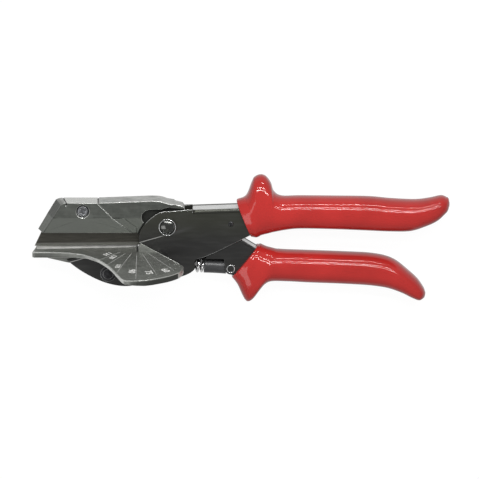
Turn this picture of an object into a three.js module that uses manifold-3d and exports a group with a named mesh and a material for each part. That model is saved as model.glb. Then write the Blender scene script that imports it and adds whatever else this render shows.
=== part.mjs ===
// Mitre shears: a long trapezoid blade in a cast head closes on a padded anvil whose wing carries a
// mitre scale. Two pressed-steel levers with dipped grips cross at one pivot bolt, a pull spring in a
// sleeve opens them, and a hook on the upper lever holds them shut.
// The tool lies on its side: X runs from the jaws (negative) to the grips, Y is up across the levers,
// Z is the pivot axis, and the origin is the outer face of the pivot nut, on which the tool rests.
import * as THREE from "three";
import { mergeVertices } from "three/addons/utils/BufferGeometryUtils.js";
import Module from "manifold-3d";

const wasm = await Module();
wasm.setup();

// Driving dimensions in millimetres
const jawReach = 73.1;
const handleReach = 151.9;
const bodyHeight = 70;
const restHeight = 10.5;
const slip = 0.3;
const overrun = 30;
const weld = 0.001;

// Levers
const leverSpread = 14.4;
const leverGauge = 1.4;
const leverWeb = 1.4;
const innerGauge = 1.2;
const innerWeb = 1.4;
const gripThickness = 2 * restHeight;
const gripSquareness = 3.2;

// Cast head, blade and clamp
const headThickness = 14.6;
const headBevel = 0.6;
const flankDepth = 1.9;
const frontSkew = 2.9;
const bladeThickness = 1.2;
const bladeBevelDepth = 2.6;
const strapThickness = 1.5;
const clampScrewDiameter = 5.4;
const clampScrewRecess = 7;
const clampScrewSink = 1;
const clampScrewHead = 1.8;
const clampScrewShank = 3;
const clampScrewCrownShare = 0.7;
const crossWidth = 0.9;
const crossSpan = 3.6;
const crossDepth = 1.1;
const crossTurn = THREE.MathUtils.degToRad(22.5);
const locatingPinDiameter = 2.4;

// Angle table, pad and its fastenings
const deckThickness = 3.5;
const deckHalfWidth = 8.5;
const deckSlope = THREE.MathUtils.degToRad(9);
const wingReach = 50.5;
const flangeGauge = 1.4;
const padThickness = 1.8;
const padHalfWidth = 4.3;
const padTailHalfWidth = 1.6;
const padRise = 0.3;
const tableScrewShank = 4;
const tableScrewFlange = 8.4;
const tableScrewHead = 5.8;
const tableScrewHeadHeight = 0.8;
const tableScrewCrownShare = 0.85;
const tableScrewTurn = THREE.MathUtils.degToRad(30);
const tableNutAcross = 7;
const tableNutHeight = 2.2;
const tableRivetDiameter = 3.6;
const tableRivetHead = 6;
const tableRivetCrownShare = 0.6;
const nutBoreShare = 0.7;

// Pivot
const boltShank = 6;
const boltHead = 9.4;
const boltHeadHeight = 1.4;
const boltRim = 1;
const boltRimRound = 0.3;
const boltGroove = 1.4;
const boltGrooveDepth = 0.5;
const boltDomeDrop = 0.12;
const boltDomeShare = 0.45;
const bushWall = 1.1;
const pivotNutAcross = 9.6;
const washerDiameter = 11;
const washerThickness = 0.6;
const headRivetDiameter = 3;

// Opening spring
const springWire = 1.4;
const springCoil = 6.6;
const springCurls = 7;
const springFlare = 0.7;
const springFlareCurls = 2.6;
const springLead = 1.32;
const springSwellCurls = 0.75;
const springStepsPerCurl = 8;
const springSides = 5;
const springApartShare = 0.6;
const anchorPinDiameter = 2.4;
const sleeveDiameter = 8;
const sleeveWall = 0.4;
const sleeveLength = 12;
const springRivetDiameter = 4.6;
const springRivetShank = 3.8;
const springRivetBore = 2.4;
const springRivetFlange = 0.6;

// Latch
const latchPinDiameter = 3;
const latchHookThickness = 4.4;
const latchLeverGauge = 1.4;
const latchLeverBevel = 0.28;
const latchTravel = THREE.MathUtils.degToRad(20);
const catchPinDiameter = 2.4;
const latchSlotHalfWidth = 3;

const roundSides = 28;
const smallSides = 20;
const hexSides = 6;
const gripSides = 20;
const splineSteps = 3;
const coarseSteps = 2;
const lugSteps = 6;

// Half widths of the nested levers, from the outside in
const leverOuter = leverSpread / 2;
const leverInner = leverOuter - leverGauge;
const innerOuter = leverInner - slip;
const innerInner = innerOuter - innerGauge;
const tongueHalf = innerInner - slip;
const headHalf = headThickness / 2;
const bladeHalf = bladeThickness / 2;
const gripHalf = gripThickness / 2;

// Places as shares of the reach on their side of the pivot and of the body height
const deckTopShare = -0.1745;
const clampScrewShares = [-0.624, 0.12];
const frontPinShares = [-0.8, 0.03];
const rearPinShares = [-0.38, 0.0];
const headRivetFrontShares = [-0.11, -0.066];
const headRivetRearShares = [0.03, -0.114];
const tableScrewShares = [-0.438, -0.37];
const tableRivetShares = [-0.3, -0.375];
const latchPinShares = [0.225, 0.023];
const catchPinShares = [0.234, -0.146];
const springRivetShares = [0.225, -0.336];
const anchorPinShares = [0.076, -0.319];

// Materials by their look
const castGrey = new THREE.MeshStandardMaterial({ color: 0x6c706a, roughness: 0.45, metalness: 0.75 });
const clampGrey = new THREE.MeshStandardMaterial({ color: 0x74776f, roughness: 0.42, metalness: 0.75 });
const bluedSteel = new THREE.MeshStandardMaterial({ color: 0x3b3c3a, roughness: 0.38, metalness: 0.85 });
const bladeSteel = new THREE.MeshStandardMaterial({ color: 0x55544f, roughness: 0.3, metalness: 0.9 });
const brightSteel = new THREE.MeshStandardMaterial({ color: 0xc4c6c6, roughness: 0.22, metalness: 1 });
const darkSteel = new THREE.MeshStandardMaterial({ color: 0x34353a, roughness: 0.4, metalness: 0.8 });
const redVinyl = new THREE.MeshStandardMaterial({ color: 0xe23a36, roughness: 0.28, metalness: 0 });
const blackRubber = new THREE.MeshStandardMaterial({ color: 0x1b1c1e, roughness: 0.5, metalness: 0 });
const paleNylon = new THREE.MeshStandardMaterial({ color: 0xe4e5e0, roughness: 0.45, metalness: 0 });
const bronze = new THREE.MeshStandardMaterial({ color: 0x9c7a44, roughness: 0.35, metalness: 0.9 });

// A share pair as a point in the plane of the levers
function spot([across, up]) {
  const reach = across < 0 ? jawReach : handleReach;
  return new THREE.Vector2(across * reach, up * bodyHeight);
}

// Corner points straight from their shares
function corners(shares) {
  return shares.map(spot);
}

// Points of a smooth curve through the given shares
function smooth(shares, steps = splineSteps) {
  return new THREE.SplineCurve(corners(shares)).getPoints(steps * (shares.length - 1));
}

// A polygon with every edge moved outwards by the same distance
function grown(points, distance) {
  const turn = THREE.ShapeUtils.isClockWise(points) ? -1 : 1;
  return points.map((point, i) => {
    const before = points[(i + points.length - 1) % points.length];
    const after = points[(i + 1) % points.length];
    const inward = point.clone().sub(before).normalize();
    const outward = after.clone().sub(point).normalize();
    const normal = new THREE.Vector2(inward.y + outward.y, -inward.x - outward.x).normalize();
    const stretch = Math.max(new THREE.Vector2(inward.y, -inward.x).dot(normal), 0.5);
    return point.clone().addScaledVector(normal, (turn * distance) / stretch);
  });
}

// A closed geometry as a solid that can be cut and joined
function solid(geometry) {
  const bare = geometry.clone();
  bare.deleteAttribute("normal");
  bare.deleteAttribute("uv");
  const merged = mergeVertices(bare, weld);
  return new wasm.Manifold(
    new wasm.Mesh({
      numProp: 3,
      vertProperties: merged.attributes.position.array,
      triVerts: merged.index.array,
    }),
  );
}

// An outline in the plane of the levers, made solid between two heights
function slab(points, low, high, bevel = 0) {
  const geometry = new THREE.ExtrudeGeometry(new THREE.Shape(points), {
    depth: high - low - 2 * bevel,
    bevelEnabled: bevel > 0,
    bevelThickness: bevel,
    bevelSize: bevel,
    bevelOffset: -bevel,
    bevelSegments: 1,
  });
  return solid(geometry.translate(0, 0, low + bevel));
}

// The same slab on both sides of the middle plane
function pair(points, inner, outer) {
  return slab(points, inner, outer).add(slab(points, -outer, -inner));
}

// A profile of [radius, height] pairs, from the top down, turned about a line along Z through a point
function turned(profile, at, sides = roundSides) {
  const points = profile.map(([radius, height]) => new THREE.Vector2(radius, height)).reverse();
  const geometry = new THREE.LatheGeometry(points, sides);
  geometry.rotateX(Math.PI / 2);
  return solid(geometry.translate(at.x, at.y, 0));
}

// A plain round bar between two heights
function bar(diameter, low, high, at, sides = smallSides) {
  const radius = diameter / 2;
  return turned([[0, high], [radius, high], [radius, low], [0, low]], at, sides);
}

// The hole that leaves a running clearance round a bar
function hole(diameter, at, low = -overrun, high = overrun) {
  return bar(diameter + 2 * slip, low, high, at);
}

// Circle points for lugs and bosses, from one angle to another in degrees
function arc(centre, radius, from, to, steps) {
  return Array.from({ length: steps + 1 }, (_, i) => {
    const angle = THREE.MathUtils.degToRad(from + ((to - from) * i) / steps);
    return new THREE.Vector2(centre.x + radius * Math.cos(angle), centre.y + radius * Math.sin(angle));
  });
}

const part = new THREE.Group();
const tool = new THREE.Group();
tool.position.z = restHeight;
part.add(tool);

// One finished sub-part as a named mesh
function piece(name, body, material) {
  const { vertProperties, triVerts, numProp } = body.getMesh();
  const geometry = new THREE.BufferGeometry();
  const positions = new Float32Array((vertProperties.length / numProp) * 3);
  for (let i = 0; i < positions.length / 3; i++) {
    positions.set(vertProperties.subarray(i * numProp, i * numProp + 3), i * 3);
  }
  geometry.setAttribute("position", new THREE.BufferAttribute(positions, 3));
  geometry.setIndex(new THREE.BufferAttribute(triVerts, 1));
  geometry.computeVertexNormals();
  const mesh = new THREE.Mesh(geometry, material);
  mesh.name = name;
  tool.add(mesh);
}

const pivot = new THREE.Vector2(0, 0);
const clampScrewAt = spot(clampScrewShares);
const frontPinAt = spot(frontPinShares);
const rearPinAt = spot(rearPinShares);
const headRivetFrontAt = spot(headRivetFrontShares);
const headRivetRearAt = spot(headRivetRearShares);
const tableScrewAt = spot(tableScrewShares);
const tableRivetAt = spot(tableRivetShares);
const latchPinAt = spot(latchPinShares);
const catchPinAt = spot(catchPinShares);
const springRivetAt = spot(springRivetShares);
const anchorPinAt = spot(anchorPinShares);
const bushDiameter = boltShank + 2 * slip + 2 * bushWall;

// Upper lever: two cheeks that run from the grip over the pivot into the lower jaw, joined by a web
const leverTopShares = [[0.823, 0.157], [0.395, 0.174], [0.252, 0.147], [0.069, 0.133], [0.018, 0.124]];
const leverNoseShares = [[0.018, 0.124], [-0.033, 0.119], [-0.076, 0.101], [-0.118, 0.07], [-0.166, 0.022],
  [-0.196, -0.025], [-0.21, -0.08], [-0.207, -0.128]];
const leverJawTopShares = [[-0.207, -0.249], [-0.7, -0.249], [-0.745, -0.26]];
const leverJawShares = [[-0.745, -0.26], [-0.681, -0.316], [-0.605, -0.369], [-0.511, -0.42],
  [-0.421, -0.453], [-0.323, -0.469], [-0.225, -0.46], [-0.027, -0.428], [0.062, -0.384],
  [0.097, -0.333], [0.097, -0.266], [0.13, -0.24], [0.173, -0.2]];
const leverHeelShares = [[0.298, -0.064], [0.342, -0.037], [0.395, 0.009], [0.823, -0.007]];
const webStartShare = 0.09;

const leverOutline = [
  ...corners(leverTopShares),
  ...smooth(leverNoseShares).slice(1),
  ...corners(leverJawTopShares),
  ...smooth(leverJawShares, coarseSteps).slice(1),
  ...corners(leverHeelShares),
];

function makeUpperLever() {
  const webTop = corners(leverTopShares);
  const webEnd = webStartShare * handleReach;
  const cheeks = pair(leverOutline, leverInner, leverOuter);
  const strip = slab(leverOutline, -leverOuter, leverOuter);
  const lowered = webTop.map((p) => new THREE.Vector2(p.x, p.y - leverWeb));
  const below = [
    new THREE.Vector2(webTop[0].x + overrun, lowered[0].y),
    ...lowered,
    new THREE.Vector2(-jawReach - overrun, lowered[lowered.length - 1].y),
    new THREE.Vector2(-jawReach - overrun, -bodyHeight),
    new THREE.Vector2(webTop[0].x + overrun, -bodyHeight),
  ];
  const beforeWeb = [
    new THREE.Vector2(webEnd, -bodyHeight),
    new THREE.Vector2(webEnd, bodyHeight),
    new THREE.Vector2(-jawReach - overrun, bodyHeight),
    new THREE.Vector2(-jawReach - overrun, -bodyHeight),
  ];
  const web = strip
    .subtract(slab(below, -overrun, overrun))
    .subtract(slab(beforeWeb, -overrun, overrun));
  return cheeks
    .add(web)
    .subtract(hole(boltShank, pivot))
    .subtract(hole(tableScrewShank, tableScrewAt))
    .subtract(hole(tableRivetDiameter, tableRivetAt))
    .subtract(hole(anchorPinDiameter, anchorPinAt))
    .subtract(hole(latchPinDiameter, latchPinAt));
}

// Lower lever: a narrower channel between the cheeks, open below, with a lug for the spring
const innerTopShares = [[0.711, -0.274], [0.382, -0.241], [0.326, -0.193], [0.261, -0.106], [0.092, 0.06]];
const innerNoseShares = [[0.092, 0.06], [0.055, 0.094], [0, 0.112], [-0.08, 0.088], [-0.14, 0.035],
  [-0.168, -0.04], [-0.16, -0.11], [-0.11, -0.15]];
const innerBellyShares = [[-0.04, -0.166], [0.055, -0.178], [0.1, -0.182], [0.143, -0.2], [0.1435, -0.226],
  [0.1356, -0.247], [0.13, -0.261], [0.2, -0.262]];
const innerTangShares = [[0.268, -0.405], [0.382, -0.405], [0.711, -0.428]];
const lugRadiusShare = 0.047;
const lugFromDegrees = 170;
const lugToDegrees = 270;

const innerOutline = [
  ...corners(innerTopShares),
  ...smooth(innerNoseShares).slice(1),
  ...corners(innerBellyShares),
  ...arc(springRivetAt, lugRadiusShare * bodyHeight, lugFromDegrees, lugToDegrees, lugSteps),
  ...corners(innerTangShares),
];

function makeLowerLever() {
  const top = corners(innerTopShares);
  const lowered = top.map((p) => new THREE.Vector2(p.x, p.y - innerWeb));
  const inside = [
    new THREE.Vector2(top[0].x + overrun, lowered[0].y),
    ...lowered,
    new THREE.Vector2(lowered[lowered.length - 1].x, bodyHeight),
    new THREE.Vector2(-jawReach - overrun, bodyHeight),
    new THREE.Vector2(-jawReach - overrun, -bodyHeight),
    new THREE.Vector2(top[0].x + overrun, -bodyHeight),
  ];
  const slotFrom = latchPinAt.x - latchReach;
  const slotTo = catchPinAt.x + catchPinDiameter / 2;
  const slot = [
    new THREE.Vector2(slotFrom, -bodyHeight),
    new THREE.Vector2(slotTo, -bodyHeight),
    new THREE.Vector2(slotTo, bodyHeight),
    new THREE.Vector2(slotFrom, bodyHeight),
  ];
  return slab(innerOutline, -innerOuter, innerOuter)
    .subtract(slab(inside, -innerInner, innerInner))
    .subtract(slab(slot, -latchSlotHalfWidth, latchSlotHalfWidth))
    .subtract(hole(bushDiameter, pivot))
    .subtract(hole(headRivetDiameter, headRivetFrontAt))
    .subtract(hole(headRivetDiameter, headRivetRearAt))
    .subtract(hole(catchPinDiameter, catchPinAt))
    .subtract(hole(springRivetShank, springRivetAt));
}

// A grip lofted through cross sections. Each row holds the shares of its top point, its bottom point and
// its thickness; a section is a superellipse between the two points.
function loft(rows) {
  const positions = [];
  const index = [];
  const power = 2 / gripSquareness;
  rows.forEach(([topAcross, topUp, lowAcross, lowUp, thick]) => {
    const top = spot([topAcross, topUp]);
    const low = spot([lowAcross, lowUp]);
    const middle = top.clone().add(low).multiplyScalar(1 / 2);
    const half = top.clone().sub(middle);
    for (let i = 0; i < gripSides; i++) {
      const angle = (2 * Math.PI * i) / gripSides;
      const up = Math.sign(Math.cos(angle)) * Math.abs(Math.cos(angle)) ** power;
      const side = Math.sign(Math.sin(angle)) * Math.abs(Math.sin(angle)) ** power;
      positions.push(middle.x + half.x * up, middle.y + half.y * up, gripHalf * thick * side);
    }
  });
  const rings = rows.length;
  for (let ring = 0; ring < rings - 1; ring++) {
    for (let i = 0; i < gripSides; i++) {
      const a = ring * gripSides + i;
      const b = ring * gripSides + ((i + 1) % gripSides);
      index.push(a, b, a + gripSides, b, b + gripSides, a + gripSides);
    }
  }
  for (let i = 1; i < gripSides - 1; i++) {
    const last = (rings - 1) * gripSides;
    index.push(0, i + 1, i, last, last + i, last + i + 1);
  }
  const geometry = new THREE.BufferGeometry();
  geometry.setAttribute("position", new THREE.Float32BufferAttribute(positions, 3));
  geometry.setIndex(index);
  return solid(geometry);
}

const upperGripShares = [
  [0.249, 0.194, 0.303, -0.096, 0.9],
  [0.279, 0.225, 0.316, -0.1, 0.97],
  [0.299, 0.331, 0.326, -0.093, 0.99],
  [0.309, 0.369, 0.333, -0.084, 1],
  [0.33, 0.388, 0.346, -0.076, 1],
  [0.35, 0.373, 0.359, -0.069, 1],
  [0.367, 0.323, 0.373, -0.06, 1],
  [0.378, 0.255, 0.385, -0.054, 1],
  [0.405, 0.219, 0.418, -0.04, 0.99],
  [0.471, 0.22, 0.471, -0.029, 0.97],
  [0.591, 0.218, 0.592, -0.034, 0.96],
  [0.714, 0.214, 0.714, -0.045, 0.96],
  [0.79, 0.199, 0.79, -0.052, 0.96],
  [0.876, 0.19, 0.862, -0.049, 0.95],
  [0.928, 0.202, 0.917, -0.012, 0.92],
  [0.971, 0.222, 0.957, 0.029, 0.82],
  [0.991, 0.209, 0.985, 0.083, 0.62],
  [1.0, 0.172, 0.998, 0.14, 0.25],
];

const lowerGripShares = [
  [0.325, -0.164, 0.23, -0.417, 0.9],
  [0.332, -0.16, 0.248, -0.47, 0.97],
  [0.34, -0.168, 0.265, -0.552, 0.99],
  [0.352, -0.179, 0.276, -0.594, 1],
  [0.365, -0.187, 0.287, -0.606, 1],
  [0.377, -0.194, 0.303, -0.584, 1],
  [0.387, -0.2, 0.326, -0.516, 1],
  [0.402, -0.203, 0.344, -0.47, 0.99],
  [0.421, -0.206, 0.369, -0.445, 0.98],
  [0.461, -0.209, 0.428, -0.446, 0.97],
  [0.527, -0.214, 0.507, -0.455, 0.96],
  [0.625, -0.222, 0.606, -0.463, 0.96],
  [0.714, -0.232, 0.698, -0.474, 0.96],
  [0.775, -0.255, 0.75, -0.486, 0.95],
  [0.815, -0.295, 0.79, -0.503, 0.94],
  [0.856, -0.368, 0.835, -0.539, 0.9],
  [0.889, -0.435, 0.869, -0.577, 0.82],
  [0.91, -0.5, 0.895, -0.597, 0.66],
  [0.917, -0.537, 0.912, -0.58, 0.3],
];
const upperFillShare = 0.36;
const lowerFillShare = 0.4;

// A grip with the pocket that takes its lever. Its tongue fills the channel between the cheeks, from the
// given place to the end of the lever, and joins the grip through the channel's open side.
function makeGrip(rows, leverPoints, leverHalf, gauge, web, fillShare) {
  const grip = loft(rows);
  const pocket = slab(grown(leverPoints, slip), -leverHalf - slip, leverHalf + slip);
  const tongueTop = leverPoints[0].y - web - slip;
  const fillFrom = fillShare * handleReach;
  const tongue = [
    new THREE.Vector2(fillFrom, tongueTop - bodyHeight),
    new THREE.Vector2(leverPoints[0].x, tongueTop - bodyHeight),
    new THREE.Vector2(leverPoints[0].x, tongueTop),
    new THREE.Vector2(fillFrom, tongueTop),
  ];
  const half = leverHalf - gauge - slip;
  return grip.subtract(pocket).add(slab(tongue, -half, half).intersect(grip));
}

// The head's slanted front leans back towards the near side
const frontTopShares = [-0.8, 0.187];
const frontFootShares = [-0.934, -0.048];

function frontCut() {
  const top = spot(frontTopShares);
  const foot = spot(frontFootShares);
  const along = top.clone().sub(foot);
  const block = new THREE.BoxGeometry(overrun, bodyHeight + jawReach, overrun + headThickness);
  block.translate(-overrun / 2, 0, 0);
  block.rotateY(-Math.atan2(frontSkew, headThickness));
  block.rotateZ(Math.atan2(along.y, along.x) - Math.PI / 2);
  return solid(block.translate((top.x + foot.x) / 2, (top.y + foot.y) / 2, 0));
}

// Below the crease both faces of the head draw in towards the blade
const flankShares = [[-1.3, 0.068], [-0.32, 0.068], [-0.262, 0.017], [-0.225, -0.014], [-0.225, -0.3],
  [-1.3, -0.3]];
const flankFootShare = -0.055;

function flankCut(side) {
  const outline = corners(flankShares);
  const crease = outline[0].y;
  const fall = crease - flankFootShare * bodyHeight;
  const wedge = new THREE.BoxGeometry(2 * (jawReach + overrun), bodyHeight, overrun);
  wedge.translate(0, 0, overrun / 2);
  wedge.rotateX(-Math.atan2(flankDepth, fall));
  const raised = solid(wedge.translate(0, crease, headHalf));
  const cut = slab(outline, 0, overrun).intersect(raised);
  return side > 0 ? cut : cut.mirror([0, 0, 1]);
}

// Cast head: full thickness over the blade, thinned where the levers pass
const headTopShares = [[-0.93, 0.185], [-0.516, 0.188], [-0.123, 0.203]];
const headCrownShares = [[-0.123, 0.203], [-0.055, 0.2], [0.016, 0.177], [0.054, 0.157], [0.062, 0.13]];
const headTongueShares = [[0.058, 0.04], [0.058, -0.06], [0.06, -0.135], [0.015, -0.165], [-0.1, -0.158],
  [-0.175, -0.122], [-0.225, -0.055], [-1.02, -0.055]];
const leverPocketShares = [[-0.134, 0.134], [-0.041, 0.133], [0, 0.147], [0.065, 0.22], [0.3, 0.22],
  [0.3, -0.4], [-0.232, -0.4], [-0.232, -0.07], [-0.217, -0.022], [-0.194, 0.036], [-0.189, 0.083]];

const headOutline = [
  ...corners(headTopShares),
  ...smooth(headCrownShares).slice(1),
  ...corners(headTongueShares),
];

// The trapezoid blade, with its edge along the pad
const bladeShares = [[-0.912, -0.02], [-0.981, -0.17], [-0.19, -0.162], [-0.2, -0.02]];
const bladeEdgeShares = [[-1.3, -0.146], [0.3, -0.134]];

// The clamp plate over the blade, and the strap that hooks over the top of the head
const clampShares = [[-0.76, 0.3], [-0.516, 0.3], [-0.516, 0.187], [-0.405, 0.068], [-0.268, -0.047],
  [-0.268, -0.055], [-1.02, -0.055], [-0.93, 0.185], [-0.76, 0.185]];
const strapFromShare = -0.753;
const strapToShare = -0.516;
const headCrestShare = 0.186;

const headCrest = headCrestShare * bodyHeight;

function strapOutline(growth, top) {
  const from = strapFromShare * jawReach - growth;
  const to = strapToShare * jawReach + growth;
  const foot = headCrest - strapThickness - growth;
  return [
    new THREE.Vector2(from, foot),
    new THREE.Vector2(to, foot),
    new THREE.Vector2(to, top),
    new THREE.Vector2(from, top),
  ];
}

function makeHead() {
  const clampCut = slab(grown(corners(clampShares), slip), bladeHalf, overrun);
  const bladeCut = slab(grown(corners(bladeShares), slip), -bladeHalf - slip, bladeHalf + slip);
  const strapCut = slab(strapOutline(slip, overrun), -overrun, overrun);
  return slab(headOutline, -headHalf, headHalf, headBevel)
    .subtract(frontCut())
    .subtract(flankCut(1))
    .subtract(flankCut(-1))
    .subtract(pair(corners(leverPocketShares), innerOuter, overrun))
    .subtract(pair(grown(innerOutline, slip), tongueHalf, overrun))
    .subtract(clampCut)
    .subtract(bladeCut)
    .subtract(strapCut)
    .subtract(hole(bushDiameter, pivot))
    .subtract(hole(headRivetDiameter, headRivetFrontAt))
    .subtract(hole(headRivetDiameter, headRivetRearAt))
    .subtract(hole(clampScrewShank, clampScrewAt))
    .subtract(hole(locatingPinDiameter, frontPinAt, -headHalf / 2 - slip, overrun))
    .subtract(hole(locatingPinDiameter, rearPinAt, -headHalf / 2 - slip, overrun));
}

function makeClamp() {
  const recessFloor = headHalf - clampScrewSink - clampScrewHead;
  const clampOutline = corners(clampShares).map((p) => new THREE.Vector2(p.x, Math.min(p.y, headCrest)));
  const body = slab(clampOutline, bladeHalf + slip, headHalf);
  const strap = slab(strapOutline(0, headCrest), -headHalf, headHalf);
  return body
    .add(strap)
    .subtract(frontCut())
    .subtract(flankCut(1))
    .subtract(hole(clampScrewShank, clampScrewAt))
    .subtract(bar(clampScrewRecess, recessFloor, overrun, clampScrewAt))
    .subtract(hole(locatingPinDiameter, frontPinAt, -overrun, headHalf / 2 + slip))
    .subtract(hole(locatingPinDiameter, rearPinAt, -overrun, headHalf / 2 + slip));
}

// The edge is ground on both faces by a cut that leans in from the grinding line
function makeBlade() {
  const body = slab(corners(bladeShares), -bladeHalf, bladeHalf);
  const [from, to] = corners(bladeEdgeShares);
  const tilt = Math.atan2(to.y - from.y, to.x - from.x);
  const lean = Math.atan2(bladeHalf, bladeBevelDepth);
  const grind = (side) => {
    const block = new THREE.BoxGeometry(2 * (jawReach + overrun), overrun, overrun);
    block.translate(0, 0, (side * overrun) / 2);
    block.rotateX(-side * lean);
    block.rotateZ(tilt);
    return solid(block.translate((from.x + to.x) / 2, (from.y + to.y) / 2, side * bladeHalf));
  };
  const edgeSide = [from, to, new THREE.Vector2(to.x, -bodyHeight), new THREE.Vector2(from.x, -bodyHeight)];
  const below = slab(edgeSide, -bladeThickness, bladeThickness);
  return body
    .subtract(grind(1).intersect(below))
    .subtract(grind(-1).intersect(below))
    .subtract(hole(locatingPinDiameter, frontPinAt))
    .subtract(hole(locatingPinDiameter, rearPinAt));
}

// A screw with a cross recess, its head sunk in the clamp plate
function makeClampScrew() {
  const top = headHalf - clampScrewSink;
  const seat = top - clampScrewHead + slip;
  const radius = clampScrewDiameter / 2;
  const shank = clampScrewShank / 2;
  const foot = -headHalf + slip;
  const crown = radius * clampScrewCrownShare;
  const screw = turned([[0, top], [crown, top], [radius, top - clampScrewHead / 3], [radius, seat],
    [shank, seat], [shank, foot], [0, foot]], clampScrewAt);
  const arm = new THREE.BoxGeometry(crossSpan, crossWidth, 2 * crossDepth);
  const cross = [0, Math.PI / 2].map((turn) => {
    const cut = arm.clone().rotateZ(turn + crossTurn);
    return solid(cut.translate(clampScrewAt.x, clampScrewAt.y, top));
  });
  return screw.subtract(cross[0]).subtract(cross[1]);
}

// Angle table: a deck under the blade, a wing that slopes away on the near side and a core between cheeks
const deckTop = deckTopShare * bodyHeight;
const deckNoseShare = -0.971;
const deckEndShare = -0.218;
const padNoseShare = -0.965;
const padTailShare = -0.23;
const wingEdgeShares = [[deckEndShare, 0], [deckNoseShare, 0], [-1, 0.165], [-0.985, 0.18]];
const wingLeftShares = [[-0.985, 0.18], [-0.793, 0.188], [-0.643, 0.234], [-0.549, 0.335], [-0.492, 0.424],
  [-0.417, 0.618], [-0.36, 0.838], [-0.323, 0.965], [-0.276, 0.998], [-0.222, 0.996]];
const wingFrontShares = [[-0.222, 0.996], [-0.129, 0.968], [-0.055, 0.921], [0.009, 0.861], [0.044, 0.762],
  [0.057, 0.653], [0.057, 0.564], [0.048, 0.531]];
const wingRoot = (leverOuter + slip + deckThickness * Math.sin(deckSlope)) / Math.cos(deckSlope);
const wingRootEndShare = -0.078;
const coreShares = [[-0.96, -0.2], [-0.955, -0.235], [-0.75, -0.285], [-0.68, -0.3], [-0.605, -0.348],
  [-0.511, -0.398], [-0.424, -0.43], [-0.323, -0.447], [-0.2, -0.44], [-0.2, -0.249], [-0.218, -0.2]];
const flangeShares = [[-0.215, -0.15], [-0.196, -0.124], [0.044, -0.289], [0.03, -0.33], [-0.215, -0.33]];

// A point of the wing in its own plane, as shares of the reach and of the wing's reach
function wingSpot([across, out]) {
  const reach = across < 0 ? jawReach : handleReach;
  return new THREE.Vector2(across * reach, out * wingReach);
}

// An outline in the plane of the deck, turned down from the middle line by a slope and made solid below it
function tableSlab(points, slope, top, thickness) {
  const shape = new THREE.Shape(points);
  const geometry = new THREE.ExtrudeGeometry(shape, { depth: thickness, bevelEnabled: false });
  geometry.rotateX(Math.PI / 2 + slope);
  return solid(geometry.translate(0, top, 0));
}

// A smooth run of the wing's rim
function wingRim(shares, steps) {
  return new THREE.SplineCurve(shares.map(wingSpot)).getPoints(steps * (shares.length - 1)).slice(1);
}

function padOutline(growth) {
  const nose = padNoseShare * jawReach - growth;
  const tail = padTailShare * jawReach + growth;
  return [
    new THREE.Vector2(nose, -padHalfWidth - growth),
    new THREE.Vector2(tail, -padTailHalfWidth - growth),
    new THREE.Vector2(tail, padTailHalfWidth + growth),
    new THREE.Vector2(nose, padHalfWidth + growth),
  ];
}

function makeTable() {
  const deckNose = deckNoseShare * jawReach;
  const deckEnd = deckEndShare * jawReach;
  const wingOutline = [
    ...wingEdgeShares.map(wingSpot),
    ...wingRim(wingLeftShares, splineSteps),
    ...wingRim(wingFrontShares, coarseSteps),
    new THREE.Vector2(wingRootEndShare * jawReach, wingRoot),
    new THREE.Vector2(deckEnd, wingRoot),
  ];
  const farDeck = [
    new THREE.Vector2(deckNose, -deckHalfWidth),
    new THREE.Vector2(deckEnd, -deckHalfWidth),
    new THREE.Vector2(deckEnd, slip),
    new THREE.Vector2(deckNose, slip),
  ];
  const padFloor = deckTop - padThickness + padRise - slip;
  const padSeat = tableSlab(padOutline(slip), 0, deckTop + overrun, overrun + deckTop - padFloor);
  return tableSlab(wingOutline, deckSlope, deckTop, deckThickness)
    .add(tableSlab(farDeck, 0, deckTop, deckThickness))
    .add(slab(corners(coreShares), -innerOuter, innerOuter))
    .add(slab(corners(flangeShares), leverOuter + slip, leverOuter + slip + flangeGauge))
    .subtract(padSeat)
    .subtract(hole(tableScrewShank, tableScrewAt))
    .subtract(hole(tableRivetDiameter, tableRivetAt));
}

function makePad() {
  return tableSlab(padOutline(0), 0, deckTop + padRise, padThickness);
}

// A bolt, screw or rivet through both cheeks: head profile outside the near cheek, shank to the far side
const nearFace = leverOuter + slip;
const farFace = -leverOuter - slip;

function makeTableScrew() {
  const flange = tableScrewFlange / 2;
  const head = tableScrewHead / 2;
  const shank = tableScrewShank / 2;
  const rim = nearFace + tableScrewHeadHeight / 2;
  const top = nearFace + tableScrewHeadHeight;
  const foot = farFace - tableNutHeight / 2;
  const screw = turned([[0, top], [head * tableScrewCrownShare, top], [head, rim], [flange, rim],
    [flange, nearFace], [shank, nearFace], [shank, foot], [0, foot]], tableScrewAt);
  const slot = new THREE.BoxGeometry(2 * flange, crossWidth, tableScrewHeadHeight).rotateZ(tableScrewTurn);
  return screw.subtract(solid(slot.translate(tableScrewAt.x, tableScrewAt.y, top)));
}

// A hexagon nut with a blind bore
function makeNut(across, height, bore, near, at) {
  const corner = (across * 2) / Math.sqrt(3);
  const nut = bar(corner, near - height, near, at, hexSides);
  return nut.subtract(bar(bore + 2 * slip, near - height * nutBoreShare, near + overrun, at));
}

function makeTableRivet() {
  const head = tableRivetHead / 2;
  const shank = tableRivetDiameter / 2;
  const crown = head * tableRivetCrownShare;
  const top = nearFace + tableScrewHeadHeight;
  const foot = farFace - tableScrewHeadHeight;
  return turned([[0, top], [crown, top], [head, nearFace], [shank, nearFace], [shank, farFace],
    [head, farFace], [crown, foot], [0, foot]], tableRivetAt);
}

// The pivot: a bolt with a raised rim and a domed middle, a bush, a washer and a nut
const washerFar = farFace - washerThickness;
const nutNear = washerFar - slip;
const pivotNutHeight = restHeight + nutNear;

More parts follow.
